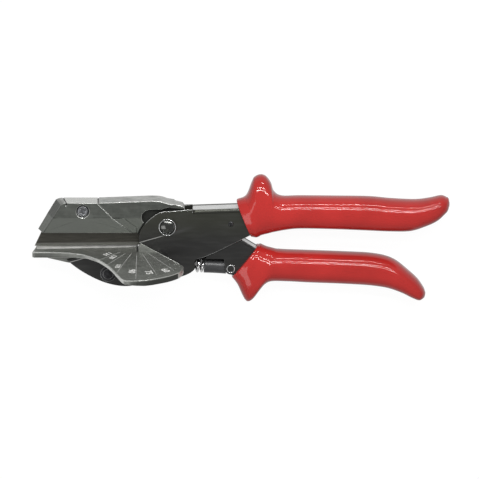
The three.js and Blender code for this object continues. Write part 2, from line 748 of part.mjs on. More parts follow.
function makePivotBolt() {
  const radius = boltHead / 2;
  const shank = boltShank / 2;
  const top = nearFace + boltHeadHeight;
  const foot = nutNear - pivotNutHeight / 2;
  const dome = [[0, top], [radius * boltDomeShare, top - boltDomeDrop]];
  return turned([...dome, [radius - boltGroove, top - boltGrooveDepth], [radius - boltRim, top],
    [radius - boltRimRound, top], [radius, top - boltRimRound], [radius, nearFace], [shank, nearFace],
    [shank, foot], [0, foot]], pivot);
}

function makeBush() {
  const half = innerOuter - slip;
  return bar(bushDiameter, -half, half, pivot).subtract(hole(boltShank, pivot));
}

function makeWasher() {
  return bar(washerDiameter, washerFar, farFace, pivot, roundSides).subtract(hole(boltShank, pivot));
}

// Cross pins that end inside the cheeks
function crossPin(diameter, half, at) {
  return bar(diameter, -half, half, at);
}

// A hollow rivet through the spring lug
function makeSpringRivet() {
  const flange = springRivetDiameter / 2;
  const shank = springRivetShank / 2;
  const bore = springRivetBore / 2;
  const inner = innerOuter + slip;
  const outer = inner + springRivetFlange;
  const body = turned([[0, outer], [flange, outer], [flange, inner], [shank, inner], [shank, -inner],
    [flange, -inner], [flange, -outer], [0, -outer]], springRivetAt);
  return body.subtract(bar(2 * bore, -overrun, overrun, springRivetAt));
}

// Opening spring: one wire from the anchor pin to the spring rivet, wound between two straight ends
const springLine = springRivetAt.clone().sub(anchorPinAt);
const springFrom = anchorPinDiameter / 2 + slip;
const springTo = springLine.length() - springRivetShank / 2 - slip;

function springPoints() {
  const start = springFrom + springLead;
  const length = springTo - springLead - start;
  const steps = springCurls * springStepsPerCurl;
  const radius = (springCoil - springWire) / 2;
  const points = [new THREE.Vector3(springFrom, 0, 0)];
  for (let i = 0; i <= steps; i++) {
    const along = i / steps;
    const angle = 2 * Math.PI * springCurls * along;
    const swell = Math.min(1, (springCurls * Math.min(along, 1 - along)) / springSwellCurls);
    const flare = springFlare * Math.max(0, 1 - (springCurls * along) / springFlareCurls);
    const reach = (radius + flare) * Math.sin((swell * Math.PI) / 2);
    points.push(new THREE.Vector3(start + length * along, reach * Math.sin(angle), reach * Math.cos(angle)));
  }
  points.push(new THREE.Vector3(springTo, 0, 0));
  return points;
}

// The least distance between points of the wire that lie more than half a curl apart, less its thickness
function springGap(points) {
  const apart = Math.ceil(springStepsPerCurl * springApartShare);
  let least = Infinity;
  points.forEach((point, i) => {
    points.slice(i + apart).forEach((other) => {
      least = Math.min(least, point.distanceTo(other));
    });
  });
  return least - springWire;
}

// Turns a solid made along X from the origin onto the line from the anchor pin to the spring rivet
function alongSpring(body) {
  const turn = THREE.MathUtils.radToDeg(Math.atan2(springLine.y, springLine.x));
  return body.rotate([0, 0, turn]).translate([anchorPinAt.x, anchorPinAt.y, 0]);
}

function makeSpring() {
  const points = springPoints();
  console.log("least gap of the spring to itself, mm: " + springGap(points).toFixed(2));
  const section = new THREE.Shape(arc(pivot, springWire / 2, 0, 360 - 360 / springSides, springSides - 1));
  const path = new THREE.CatmullRomCurve3(points);
  const geometry = new THREE.ExtrudeGeometry(section, {
    steps: springCurls * springStepsPerCurl + 2,
    extrudePath: path,
    bevelEnabled: false,
  });
  return alongSpring(solid(geometry));
}

function makeSleeve() {
  const end = springTo - slip;
  const start = end - sleeveLength;
  const outer = sleeveDiameter / 2;
  const inner = outer - sleeveWall;
  const profile = [[inner, start], [outer, start], [outer, end], [inner, end], [inner, start]];
  const points = profile.map(([radius, along]) => new THREE.Vector2(radius, along));
  const geometry = new THREE.LatheGeometry(points, roundSides).rotateZ(-Math.PI / 2);
  return alongSpring(solid(geometry));
}

// Latch: a hook between the cheeks and a thumb lever outside the far cheek, on one turning pin.
// Both are drawn in the latched place and stand released, turned back by the latch travel.
const hookShares = [[0.243, 0.03], [0.238, -0.035], [0.222, -0.055], [0.2215, -0.163], [0.238, -0.17],
  [0.239, -0.185], [0.215, -0.19], [0.2055, -0.17], [0.2075, -0.05], [0.2065, 0.03]];
const hookBossShare = 0.048;
const thumbShares = [[0.247, 0.028], [0.236, -0.04], [0.205, -0.13], [0.186, -0.165], [0.168, -0.15],
  [0.178, -0.1], [0.2, -0.03], [0.203, 0.02]];
const latchReach = 0.052 * handleReach;

function released(body) {
  return body
    .translate([-latchPinAt.x, -latchPinAt.y, 0])
    .rotate([0, 0, -THREE.MathUtils.radToDeg(latchTravel)])
    .translate([latchPinAt.x, latchPinAt.y, 0]);
}

function makeHook() {
  const half = latchHookThickness / 2;
  const boss = bar(2 * hookBossShare * bodyHeight, -half, half, latchPinAt);
  const hook = slab(corners(hookShares), -half, half).add(boss).subtract(hole(latchPinDiameter, latchPinAt));
  return released(hook);
}

function makeThumbLever() {
  const near = farFace;
  const far = near - latchLeverGauge;
  const boss = bar(2 * hookBossShare * bodyHeight, far, near, latchPinAt);
  const lever = slab(corners(thumbShares), far, near, latchLeverBevel).add(boss);
  return released(lever.subtract(hole(latchPinDiameter, latchPinAt)));
}

function makeLatchPin() {
  const reach = leverOuter - slip;
  return bar(latchPinDiameter, farFace - latchLeverGauge, reach, latchPinAt);
}

piece("upper_handle_channel", makeUpperLever(), bluedSteel);
piece("lower_handle_channel", makeLowerLever(), bluedSteel);
const upperGrip = makeGrip(upperGripShares, leverOutline, leverOuter, leverGauge, leverWeb, upperFillShare);
const lowerGrip = makeGrip(lowerGripShares, innerOutline, innerOuter, innerGauge, innerWeb, lowerFillShare);
piece("upper_grip", upperGrip, redVinyl);
piece("lower_grip", lowerGrip, redVinyl);
piece("blade_head", makeHead(), castGrey);
piece("blade_clamp", makeClamp(), clampGrey);
piece("blade", makeBlade(), bladeSteel);
piece("clamp_screw", makeClampScrew(), brightSteel);
piece("blade_pin_front", crossPin(locatingPinDiameter, headHalf / 2, frontPinAt), brightSteel);
piece("blade_pin_rear", crossPin(locatingPinDiameter, headHalf / 2, rearPinAt), brightSteel);
piece("head_rivet_front", crossPin(headRivetDiameter, innerOuter, headRivetFrontAt), darkSteel);
piece("head_rivet_rear", crossPin(headRivetDiameter, innerOuter, headRivetRearAt), darkSteel);
piece("angle_table", makeTable(), castGrey);
piece("anvil_pad", makePad(), paleNylon);
piece("table_screw", makeTableScrew(), darkSteel);
const tableNut = makeNut(tableNutAcross, tableNutHeight, tableScrewShank, farFace, tableScrewAt);
piece("table_nut", tableNut, darkSteel);
piece("table_rivet", makeTableRivet(), darkSteel);
piece("pivot_bolt", makePivotBolt(), brightSteel);
piece("pivot_bush", makeBush(), bronze);
piece("pivot_washer", makeWasher(), brightSteel);
piece("pivot_nut", makeNut(pivotNutAcross, pivotNutHeight, boltShank, nutNear, pivot), brightSteel);
piece("spring_anchor_pin", crossPin(anchorPinDiameter, leverOuter, anchorPinAt), darkSteel);
piece("spring_rivet", makeSpringRivet(), brightSteel);
piece("opening_spring", makeSpring(), brightSteel);
piece("spring_sleeve", makeSleeve(), blackRubber);
piece("latch_pin", makeLatchPin(), darkSteel);
piece("latch_hook", makeHook(), darkSteel);
piece("latch_lever", makeThumbLever(), darkSteel);
piece("catch_pin", crossPin(catchPinDiameter, innerOuter, catchPinAt), darkSteel);

export default part;
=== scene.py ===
"""Looks of a pair of mitre shears, laid out as a Blender add-on and run as a script.

The frame gives the CAD solids. Each operator below adds the surfaces of one group of pieces over them,
worked out with numpy from the same shares of the tool's reach and height that the solids use.
"""

import math

import bmesh
import bpy
import numpy as np
from bpy.props import FloatProperty, FloatVectorProperty, IntProperty, PointerProperty
from mathutils import Matrix, Vector
from mathutils.geometry import delaunay_2d_cdt


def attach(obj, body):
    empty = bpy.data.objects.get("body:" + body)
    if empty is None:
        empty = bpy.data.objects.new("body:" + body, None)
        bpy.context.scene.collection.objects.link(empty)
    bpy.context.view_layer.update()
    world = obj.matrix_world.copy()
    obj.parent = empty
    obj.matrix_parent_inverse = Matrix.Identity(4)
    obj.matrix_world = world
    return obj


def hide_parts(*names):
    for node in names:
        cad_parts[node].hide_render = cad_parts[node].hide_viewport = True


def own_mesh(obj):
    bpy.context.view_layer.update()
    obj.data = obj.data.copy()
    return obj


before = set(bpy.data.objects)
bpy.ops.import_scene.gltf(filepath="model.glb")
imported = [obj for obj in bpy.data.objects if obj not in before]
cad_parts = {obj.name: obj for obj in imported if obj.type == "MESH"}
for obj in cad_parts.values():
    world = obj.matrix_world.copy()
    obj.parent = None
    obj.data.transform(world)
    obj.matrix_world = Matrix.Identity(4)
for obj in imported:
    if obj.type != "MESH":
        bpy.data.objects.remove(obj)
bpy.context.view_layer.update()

bl_info = {
    "name": "Mitre shears looks",
    "version": (1, 0, 0),
    "blender": (4, 5, 0),
    "location": "View3D > Sidebar > Mitre shears",
    "description": "Dresses the mitre shears frame with finished surfaces and materials",
    "category": "Object",
}

MM = 0.001
JAW_REACH = 73.1 * MM
HANDLE_REACH = 151.9 * MM
BODY_HEIGHT = 70 * MM
MIDDLE = 10.5 * MM
CHEEK_OUT = 7.2 * MM
CHEEK_IN = 5.8 * MM
INNER_OUT = 5.5 * MM
INNER_IN = 4.3 * MM
HEAD_HALF = 7.3 * MM
FACE_GAP = 0.3 * MM
FACE = MIDDLE + CHEEK_OUT + FACE_GAP
DECK_SLOPE = math.radians(9)
DECK_TOP = -0.1745 * BODY_HEIGHT
DECK_THICKNESS = 3.5 * MM
WING_REACH = 50.5 * MM
SCALE_APEX = np.array([-16.5, 0.0]) * MM
ON_AXIS = 0.05 * MM
FLAT_AREA = 4 * MM**2
CORNER_STEPS = 4


# Points and outlines


def spots(shares, height=BODY_HEIGHT):
    """Share pairs as points: x is a share of the reach on its side of the pivot, y of the body height, or
    of another height."""
    shares = np.asarray(shares, float)
    reach = np.where(shares[:, 0] < 0, JAW_REACH, HANDLE_REACH)
    return np.column_stack([shares[:, 0] * reach, shares[:, 1] * height])


PIVOT = np.zeros(2)
SPRING_FROM, SPRING_TO, LATCH_PIN, CATCH_PIN = spots(
    [[0.076, -0.319], [0.225, -0.336], [0.225, 0.023], [0.234, -0.146]]
)
CLAMP_SCREW, TABLE_SCREW, TABLE_RIVET = spots([[-0.624, 0.12], [-0.438, -0.37], [-0.3, -0.375]])
SPRING_LENGTH = np.linalg.norm(SPRING_TO - SPRING_FROM)


def unit(vectors):
    """Vectors at length 1."""
    return vectors / np.maximum(np.linalg.norm(vectors, axis=-1, keepdims=True), 1e-12)


def rotation(angle):
    """Matrix that turns a point anticlockwise."""
    return np.array([[math.cos(angle), -math.sin(angle)], [math.sin(angle), math.cos(angle)]])


def ramp(values, start, full):
    """0 where a value is at start, 1 where it is at full, straight in between and held beyond."""
    return np.clip((values - start) / (full - start), 0, 1)


def flow(points, steps):
    """Uniform Catmull-Rom curve: between two points the cubic whose end slopes are half the chord of
    their neighbours, sampled at equal steps of its parameter."""
    points = np.asarray(points, float)
    padded = np.vstack([points[:1], points, points[-1:]])
    before, start, end, after = padded[:-3], padded[1:-2], padded[2:-1], padded[3:]
    t = np.linspace(0, 1, steps, endpoint=False)[None, :, None]
    a, b, c, d = (p[:, None, :] for p in (before, start, end, after))
    curve = 0.5 * (2 * b + (c - a) * t + (2 * a - 5 * b + 4 * c - d) * t**2 + (3 * b - a - 3 * c + d) * t**3)
    return np.vstack([curve.reshape(-1, points.shape[1]), points[-1:]])


def corner_curves(corners, back, on, radius, limit):
    """At each corner the quadratic curve that leaves one edge and meets the next at the given distance
    from the corner, or at a limiting share of the edge if that is shorter."""
    leave, meet = (
        corners + side * np.minimum(radius / np.linalg.norm(side, axis=1, keepdims=True), limit)
        for side in (back, on)
    )
    t = np.linspace(0, 1, CORNER_STEPS)[None, :, None]
    curve = (1 - t) ** 2 * leave[:, None] + 2 * t * (1 - t) * corners[:, None] + t**2 * meet[:, None]
    return curve.reshape(-1, 2)


def eased(points, radius):
    """Closed outline with each corner replaced by its curve."""
    points = np.asarray(points, float)
    before, after = np.roll(points, 1, 0), np.roll(points, -1, 0)
    return corner_curves(points, before - points, after - points, radius, 0.42)


def rounded(profile, radius):
    """Open profile with its inner corners replaced by their curves and its two ends kept."""
    middle = profile[1:-1]
    curves = corner_curves(middle, profile[:-2] - middle, profile[2:] - middle, radius, 0.45)
    return np.vstack([profile[:1], curves, profile[-1:]])


def anticlockwise(points):
    """The outline in the order that has a positive area."""
    x, y = points.T
    area = np.sum(x * np.roll(y, -1) - y * np.roll(x, -1))
    return points if area > 0 else points[::-1]


def inset(points, distance):
    """Every outline point moved inwards along the mean normal of its two edges, stretched so that the
    edges themselves move by the distance."""
    along = unit(np.roll(points, -1, 0) - points)
    normal = np.column_stack([-along[:, 1], along[:, 0]])
    mean = unit(normal + np.roll(normal, 1, 0))
    return points + mean * distance / np.clip(np.sum(mean * normal, axis=1, keepdims=True), 0.6, 1)


def circle(radius, sides, centre=(0, 0)):
    """Points at equal angles on a circle."""
    angle = np.linspace(0, 2 * math.pi, sides, endpoint=False)
    return np.column_stack([np.cos(angle), np.sin(angle)]) * radius + np.asarray(centre, float)


# Surfaces: each is a triple of points, faces and a value from 0 on faces to 1 on edges, for edge
# wearing and painted highlight, and below 0 for painted shade


def walls(index):
    """Quads that join each row of an index grid to the next, every row closed on itself."""
    low, high = index[:-1], index[1:]
    quads = np.stack([low, np.roll(low, -1, 1), np.roll(high, -1, 1), high], axis=-1)
    return quads.reshape(-1, 4).tolist()


def rings(grid, wear, looped=False):
    """Closed skin over a grid of rings: point (i, j) is place j on ring i. Neighbouring rings are joined
    by quads. The first and last ring are closed by one face each, or joined if the grid is looped."""
    count, sides = grid.shape[:2]
    index = np.arange(count * sides).reshape(count, sides)
    if looped:
        faces = walls(np.vstack([index, index[:1]]))
    else:
        faces = [*walls(index), index[0][::-1].tolist(), index[-1].tolist()]
    return grid.reshape(-1, 3), faces, np.repeat(np.broadcast_to(wear, (count,)), sides)


def edge_profile(low, high, edge, back):
    """Inset and height of the rings of a plate with quarter-round edges: inset is the radius times one
    minus the sine of the turn, and height is measured in by the radius times one minus the cosine. The
    low edge has the radius back."""
    turn = np.linspace(0, math.pi / 2, CORNER_STEPS)
    drawn, rise = 1 - np.sin(turn), 1 - np.cos(turn)
    shelf = min(edge * 0.5, (high - low) * 0.2)
    insets = np.concatenate([back * drawn, [0, 0], edge * drawn[::-1]])
    heights = np.concatenate(
        [low + back * rise, [low + back + shelf, high - edge - shelf], high - edge * rise[::-1]]
    )
    worn_and_lit = np.concatenate([np.sin(2 * turn), [0, 0], np.sin(2 * turn)])
    return insets, heights, worn_and_lit


def within(points, loop):
    """Whether each point lies in a loop: a line to its right crosses the loop an odd number of times."""
    x, y = points[:, :1], points[:, 1:]
    (x1, y1), (x2, y2) = loop.T, np.roll(loop, -1, 0).T
    crossed = (y < y1) != (y < y2)
    reach = x1 + (y - y1) * (x2 - x1) / np.where(y1 == y2, 1, y2 - y1)
    return (crossed & (x < reach)).sum(1) % 2 == 1


def filling(loops):
    """Delaunay triangles that fill an outline with holes, as places on the loops in their order."""
    points = np.vstack(loops)
    ends = np.cumsum([len(loop) for loop in loops])
    onward = np.arange(1, len(points) + 1)
    onward[ends - 1] = ends - [len(loop) for loop in loops]
    sides = np.column_stack([np.arange(len(points)), onward]).tolist()
    _, _, faces, origins, _, _ = delaunay_2d_cdt([Vector(point) for point in points], sides, [], 2, 1e-9)
    triangles = np.array([[origins[i][0] for i in face] for face in faces])
    centres = points[triangles].mean(1)
    for hole in loops[1:]:
        kept = ~within(centres, hole)
        triangles, centres = triangles[kept], centres[kept]
    a, b, c = (points[triangles[:, i]] for i in range(3))
    area = (b - a)[:, 0] * (c - a)[:, 1] - (b - a)[:, 1] * (c - a)[:, 0]
    triangles[area < 0] = triangles[area < 0][:, ::-1]
    return triangles


def plate(outline, low, high, edge, holes=(), back=None, shine=(0, 0)):
    """Flat plate with holes: every loop is stacked at the heights of the edge profile and set into the
    metal by the inset of each height. A wall gets painted light by how far its outward normal goes with
    shine, and painted shade, a value below zero, by how far it goes against it."""
    loops = [anticlockwise(outline), *(anticlockwise(hole)[::-1] for hole in holes)]
    insets, heights, worn_and_lit = edge_profile(low, high, edge, edge if back is None else back)
    points, wear, faces, bottom, top, start = [], [], [], [], [], 0
    for loop in loops:
        points += [np.column_stack([inset(loop, d), np.full(len(loop), h)]) for d, h in zip(insets, heights)]
        index = start + np.arange(len(insets) * len(loop)).reshape(len(insets), -1)
        outward = (loop - inset(loop, MM)) / MM
        # painted light: walls facing shine are painted bright, walls facing away are painted dark as shade
        lit = np.clip(outward @ np.asarray(shine, float), -1, 1)
        shone = np.maximum(worn_and_lit[:, None] * (lit >= 0), abs(lit)) * np.sign(lit + 1e-9)
        wear.append(np.where(insets[:, None] < edge / 2, shone, worn_and_lit[:, None]).ravel())
        faces += walls(index)
        bottom.append(index[0])
        top.append(index[-1])
        start += index.size
    cap = filling(loops)
    faces += np.concatenate(bottom)[cap[:, ::-1]].tolist() + np.concatenate(top)[cap].tolist()
    return np.vstack(points), faces, np.concatenate(wear)


def scored(surface, heights):
    """The surface with its faces cut along level lines, where it is to bend."""
    points, faces, wear = surface
    mesh = bmesh.new()
    layer = mesh.verts.layers.float.new("wear")
    corners = [mesh.verts.new(point) for point in points.tolist()]
    for corner, value in zip(corners, wear):
        corner[layer] = value
    for face in faces:
        mesh.faces.new([corners[i] for i in face])
    for height in heights:
        everything = [*mesh.verts, *mesh.edges, *mesh.faces]
        bmesh.ops.bisect_plane(mesh, geom=everything, plane_co=(0, height, 0), plane_no=(0, 1, 0))
    mesh.verts.index_update()
    points = np.array([corner.co[:] for corner in mesh.verts])
    faces = [[corner.index for corner in face.verts] for face in mesh.faces]
    wear = np.array([corner[layer] for corner in mesh.verts])
    mesh.free()
    return points, faces, wear


def turned_grid(profile, at, sides):
    """Grid whose ring i is a circle of radius profile[i][0] at height profile[i][1]."""
    profile = np.asarray(profile, float)
    grid = np.empty((len(profile), sides, 3))
    grid[..., :2] = profile[:, None, :1] * circle(1, sides) + at
    grid[..., 2] = profile[:, 1:2]
    return grid


def strip_along(path, section, wear):
    """Section of (side, up) points carried along a path in the plane of the levers: a point stands at
    path + up times the path's normal, and at side along Z."""
    slope = unit(np.gradient(path, axis=0))
    normal = np.column_stack([-slope[:, 1], slope[:, 0]])
    grid = np.empty((len(path), len(section), 3))
    grid[..., :2] = path[:, None] + section[None, :, 1:2] * normal[:, None]
    grid[..., 2] = MIDDLE + section[None, :, 0]
    points, faces, _ = rings(grid, 0.0)
    return points, faces, np.tile(wear, len(path))


def wire(path, out, radius, sides):
    """Round wire: at each path point a circle in the plane of the part of out square to the tangent, and
    of the cross product of the tangent and it."""
    tangent = unit(np.gradient(path, axis=0))
    normal = unit(out - np.sum(out * tangent, axis=1, keepdims=True) * tangent)
    across = np.cross(tangent, normal)[:, None]
    ring = circle(radius, sides)
    return rings(path[:, None] + ring[None, :, :1] * normal[:, None] + ring[None, :, 1:] * across, 0.0)


def joined(*surfaces):
    """Several surfaces as one, with their faces renumbered."""
    points, faces, wear, start = [], [], [], 0
    for some_points, some_faces, some_wear in surfaces:
        points.append(some_points)
        wear.append(some_wear)
        faces.extend([[start + i for i in face] for face in some_faces])
        start += len(some_points)
    return np.vstack(points), faces, np.concatenate(wear)


def moved(surface, change):
    """The surface with its points passed through a function of whole arrays."""
    return change(surface[0]), surface[1], surface[2]


def rubbed(surface, share):
    """The surface with its value of edge wearing and painted light multiplied by a number or by a function
    of x and y in millimetres.
    """
    points, faces, wear = surface
    return points, faces, wear * (share(*points.T[:2] / MM) if callable(share) else share)


def flipped(surface):
    """The surface mirrored in the middle plane between the cheeks, its faces turned to point outwards."""
    points = surface[0] * [1, 1, -1] + [0, 0, 2 * MIDDLE]
    return points, [face[::-1] for face in surface[1]], surface[2]


def add_piece(name, surface, look, body, slot, *nodes, capped=False):
    """Makes the surface a mesh object, gives it its material and fixes it to a CAD body. Its shading is
    smooth, but for the large faces and the triangles of a capped piece."""
    points, faces, wear = surface
    mesh = bpy.data.meshes.new(name)
    mesh.from_pydata(points.tolist(), [], faces)
    areas, sides = np.empty(len(faces)), np.empty(len(faces), np.int32)
    mesh.polygons.foreach_get("area", areas)
    mesh.polygons.foreach_get("loop_total", sides)
    mesh.polygons.foreach_set("use_smooth", (not capped) | ((areas < FLAT_AREA) & (sides > 3)))
    mesh.attributes.new("wear", "FLOAT", "POINT").data.foreach_set("value", wear.astype(np.float32))
    mesh.materials.append(look)
    mesh.update()
    piece = bpy.data.objects.new(name, mesh)
    bpy.context.scene.collection.objects.link(piece)
    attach(piece, body)
    if nodes:
        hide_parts(*nodes)
    if not capped:
        piece.modifiers.new("even_shading", "WEIGHTED_NORMAL")
    return piece


def dress(look, *nodes):
    """Gives CAD nodes that stay in view their finished material."""
    for node in nodes:
        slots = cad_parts[node].data.materials
        slots.clear()
        slots.append(look)


# Materials


class Term:
    """A shader socket in a sum or product: each operator adds the Math node that works it out."""

    def __init__(self, look, socket):
        self.look = look
        self.socket = socket

    def combined(self, operation, first, second):
        return self.look.node("ShaderNodeMath", {0: first, 1: second}, operation=operation)

    def __add__(self, other):
        return self.combined("ADD", self, other)

    def __sub__(self, other):
        return self.combined("SUBTRACT", self, other)

    def __rsub__(self, other):
        return self.combined("SUBTRACT", other, self)

    def __mul__(self, other):
        return self.combined("MULTIPLY", self, other)

    def least(self, other):
        return self.combined("MINIMUM", self, other)

    def over(self, start, full):
        """0 where the value is at start, 1 where it is at full, straight in between and held beyond."""
        values = {"Value": self, "From Min": start, "From Max": full}
        return self.look.node("ShaderNodeMapRange", values, clamp=True)

    def band(self, reach):
        """1 where the value is 0, and down to 0 where it is reach away on either side."""
        return self.over(-reach, 0.0) * self.over(reach, 0.0)


class Look:
    """A material under construction: a Principled shader and the nodes that feed it."""

    def __init__(self, name):
        self.material = bpy.data.materials.new(name)
        self.material.use_nodes = True
        self.tree = self.material.node_tree
        self.shader = self.tree.nodes["Principled BSDF"]
        self.place = self.node("ShaderNodeTexCoord", {}, "Object")
        self.x, self.y = (self.node("ShaderNodeSeparateXYZ", {0: self.place}, axis) for axis in "XY")

    def node(self, kind, values, output=0, **settings):
        """An output of a new node that has its settings made and its sockets' values or links."""
        made = self.tree.nodes.new(kind)
        for key, value in settings.items():
            setattr(made, key, value)
        for key, value in values.items():
            self.feed(key, value, made)
        return Term(self, made.outputs[output])

    def feed(self, socket, value, node=None):
        """Gives a socket of a node, or else of the shader, a value or a link."""
        entry = (node or self.shader).inputs[socket]
        if isinstance(value, Term):
            self.tree.links.new(value.socket, entry)
        else:
            entry.default_value = value

    def noise(self, scale, detail=3.0, stretch=1.0):
        """Noise of a given number of features per metre, drawn out along the tool by one over stretch."""
        spread = self.node("ShaderNodeMapping", {"Vector": self.place, "Scale": (stretch, 1, 1)})
        values = {"Vector": spread, "Scale": scale, "Detail": detail, "Roughness": 0.6}
        return self.node("ShaderNodeTexNoise", values, "Fac")

    def wear(self):
        """The mesh's value of edge wearing and painted light: edges bright, walls painted lit, and painted
        shade below zero.
        """
        return self.node("ShaderNodeAttribute", {}, "Fac", attribute_name="wear")

    def mix(self, first, second, share):
        """Colour between two colours."""
        first, second = ((*c, 1) if isinstance(c, tuple) else c for c in (first, second))
        return self.node("ShaderNodeMix", {0: share, 6: first, 7: second}, 2, data_type="RGBA")

    def tints(self, colour, low, high, share):
        """Colour between a darker and a lighter tint of one colour."""
        return self.mix(tinted(colour, low), tinted(colour, high), share)

    def finish(self, colour, roughness, height, depth, metallic=0.0):
        """The material, its shader fed, with a bump of a given depth from a height between 0 and 1."""
        bump = self.node("ShaderNodeBump", {"Height": height, "Strength": 1.0, "Distance": depth}, "Normal")
        values = {"Base Color": colour, "Metallic": metallic, "Roughness": roughness, "Normal": bump}
        for socket, value in values.items():
            self.feed(socket, value)
        return self.material


def tinted(colour, factor):
    """A colour times a factor, held at 1."""
    return tuple(min(channel * factor, 1.0) for channel in colour)


NYLON, RUBBER, BRONZE = (0.42, 0.42, 0.4), (0.045, 0.046, 0.048), (0.33, 0.19, 0.06)
BLADE_STEEL, PIN_STEEL, RIVET_STEEL = (0.075, 0.072, 0.062), (0.5, 0.5, 0.5), (0.035, 0.035, 0.04)
DOME_DARK_REFLECTION, PLATED_STEEL, CHROME = (0.1, 0.102, 0.098), (0.45, 0.45, 0.44), (0.85, 0.85, 0.85)
SCREW_STEEL, JOINT_SHADE_BLACK = (0.16, 0.165, 0.175), (0.012, 0.012, 0.012)
CREASE_TOP, CREASE_FOOT = 0.069 * BODY_HEIGHT, 0.066 * BODY_HEIGHT
WORN_AND_HIGHLIT_CASTING, WORN_AND_HIGHLIT_SHEET, WORN_AND_HIGHLIT_FITTING = (0.74, 0.75, 0.72), (0.9, 0.91, 0.9), (0.5, 0.5, 0.5)
WARM_CAST, FACET_EDGE_HIGHLIGHT, GROUND_EDGE = (0.062, 0.064, 0.05), (0.6, 0.6, 0.58), (0.2, 0.2, 0.18)
FACET_SLOPE, FACET_LEVEL = 0.29, -4.3 * MM
EDGE_SLOPE, EDGE_TOP, EDGE_FOOT = 0.012, -9.3 * MM, -9.9 * MM


def cast_metal(name, colour, crease=False):
    """Machined casting: soft mottling, fine lengthwise grinding marks, pores, and bright edges, partly edge
    wearing and partly painted highlight. Below the crease, if there is one, it is painted lighter, a
    painted reflection on the downward flank, and it is painted dark as shade where the value is below zero."""
    look = Look(name)
    mottle, pores = look.noise(260.0, 4.0), look.noise(2600.0, 2.0)
    grind = look.noise(900.0, 3.0, 0.12)
    base = look.tints(colour, 0.78, 1.22, (mottle * 0.6 + grind * 0.4).over(0.32, 0.68))
    if crease:
        # painted reflection: lighter below the crease
        base = look.mix(base, tinted(colour, 1.9), look.y.over(CREASE_TOP, CREASE_FOOT) * 0.9)
    # painted shade where the value is below zero
    base = look.mix(base, tinted(colour, 0.3), look.wear().over(-0.1, -0.8))
    # bright edges: edge wearing and painted highlight
    worn_and_lit = (look.wear() * (mottle + 0.55)).over(0.25, 0.9)
    base = look.mix(base, WORN_AND_HIGHLIT_CASTING, worn_and_lit)
    roughness = 0.5 - worn_and_lit * 0.22 + (grind - 0.5) * 0.25
    return look.finish(base, roughness, pores * 0.5 + grind * 0.5, 0.06 * MM, 0.85)


def blued_steel(name, colour):
    """Blued sheet: nearly black, a warm cast near the top edge, drawn marks, and bright edges, partly edge
    wearing and partly painted highlight. A facet crosses the near cheek in colour only: a painted
    reflection, a lighter band, and a painted highlight, a bright line on the jaws' side of the pivot."""
    look = Look(name)
    drawn, cloud = look.noise(500.0, 4.0, 0.15), look.noise(60.0, 2.0)
    base = look.mix(colour, WARM_CAST, (look.y + cloud * 0.006).over(-0.006, 0.006) * 0.75)
    base = look.mix(base, tinted(colour, 1.7), (drawn - 0.35).over(0.1, 0.4) * 0.35)
    # painted reflection band and painted highlight line along the facet, which the mesh does not have
    facet = look.y - look.x * FACET_SLOPE - FACET_LEVEL
    glint = facet.band(1.6 * MM) * look.x.over(0.016, 0.007) * look.x.over(-0.004, 0.004)
    base = look.mix(base, tinted(colour, 2.2), glint * 0.7)
    base = look.mix(base, FACET_EDGE_HIGHLIGHT, facet.band(0.3 * MM) * look.x.over(0.0, -0.004))
    # bright edges: edge wearing and painted highlight
    worn_and_lit = (look.wear() * (drawn + 0.45)).over(0.25, 0.9)
    roughness = 0.34 - worn_and_lit * 0.1 + (drawn - 0.5) * 0.2
    return look.finish(look.mix(base, WORN_AND_HIGHLIT_SHEET, worn_and_lit), roughness, drawn, 0.03 * MM, 0.8)


def polished_steel(name, colour, roughness):
    """Bright plated steel with hair-fine scratches and slight clouding."""
    look = Look(name)
    scratch, cloud = look.noise(3200.0, 2.0, 0.2), look.noise(320.0, 2.0)
    base = look.tints(colour, 0.8, 1.1, cloud.over(0.3, 0.7))
    return look.finish(base, cloud * 0.12 + (roughness - 0.05), scratch, 0.01 * MM, 1.0)


def dark_fitting(name, colour):
    """Blackened screws and pins: satin, with bright edges, partly edge wearing and partly
    painted highlight.
    """
    look = Look(name)
    cloud = look.noise(700.0)
    # bright edges: edge wearing and painted highlight
    worn_and_lit = (look.wear() * (cloud + 0.4)).over(0.3, 0.9)
    base = look.mix(look.tints(colour, 0.7, 1.5, cloud.over(0.35, 0.65)), WORN_AND_HIGHLIT_FITTING, worn_and_lit)
    return look.finish(base, cloud * 0.2 + 0.25, cloud, 0.03 * MM, 0.75)


def ground_blade(name, colour):
    """Blade steel: marks ground along the blade and a lighter strip above the edge."""
    look = Look(name)
    marks = look.noise(1800.0, 3.0, 0.05)
    edge = (look.y - look.x * EDGE_SLOPE).over(EDGE_TOP, EDGE_FOOT)
    base = look.mix(look.tints(colour, 0.85, 1.2, marks.over(0.35, 0.65)), GROUND_EDGE, edge)
    return look.finish(base, marks * 0.18 + 0.22, marks, 0.02 * MM, 0.9)


def dipped_vinyl(name, colour, gloss):
    """Dipped vinyl: deep red with faint pooling, a slight orange peel and a glossy skin."""
    look = Look(name)
    pooling, peel = look.noise(38.0, 2.0), look.noise(520.0, 2.0)
    speck = look.noise(2400.0, 1.0).over(0.68, 0.76)
    base = look.tints(colour, 0.88, 1.08, pooling.over(0.35, 0.65))
    base = look.mix(base, tinted(colour, 0.7), speck * 0.35)
    look.feed("Specular IOR Level", 0.45)
    return look.finish(base, peel * 0.06 + (gloss - 0.03), peel, 0.05 * MM)


def plain_skin(name, colour, roughness, grain, depth):
    """Rubber or nylon: a moulded skin with grain of a given fineness and depth."""
    look = Look(name)
    fine, patch = look.noise(grain), look.noise(grain / 8, 2.0)
    base = look.tints(colour, 0.82, 1.12, patch.over(0.35, 0.65))
    return look.finish(base, fine * 0.16 + (roughness - 0.08), fine, depth)


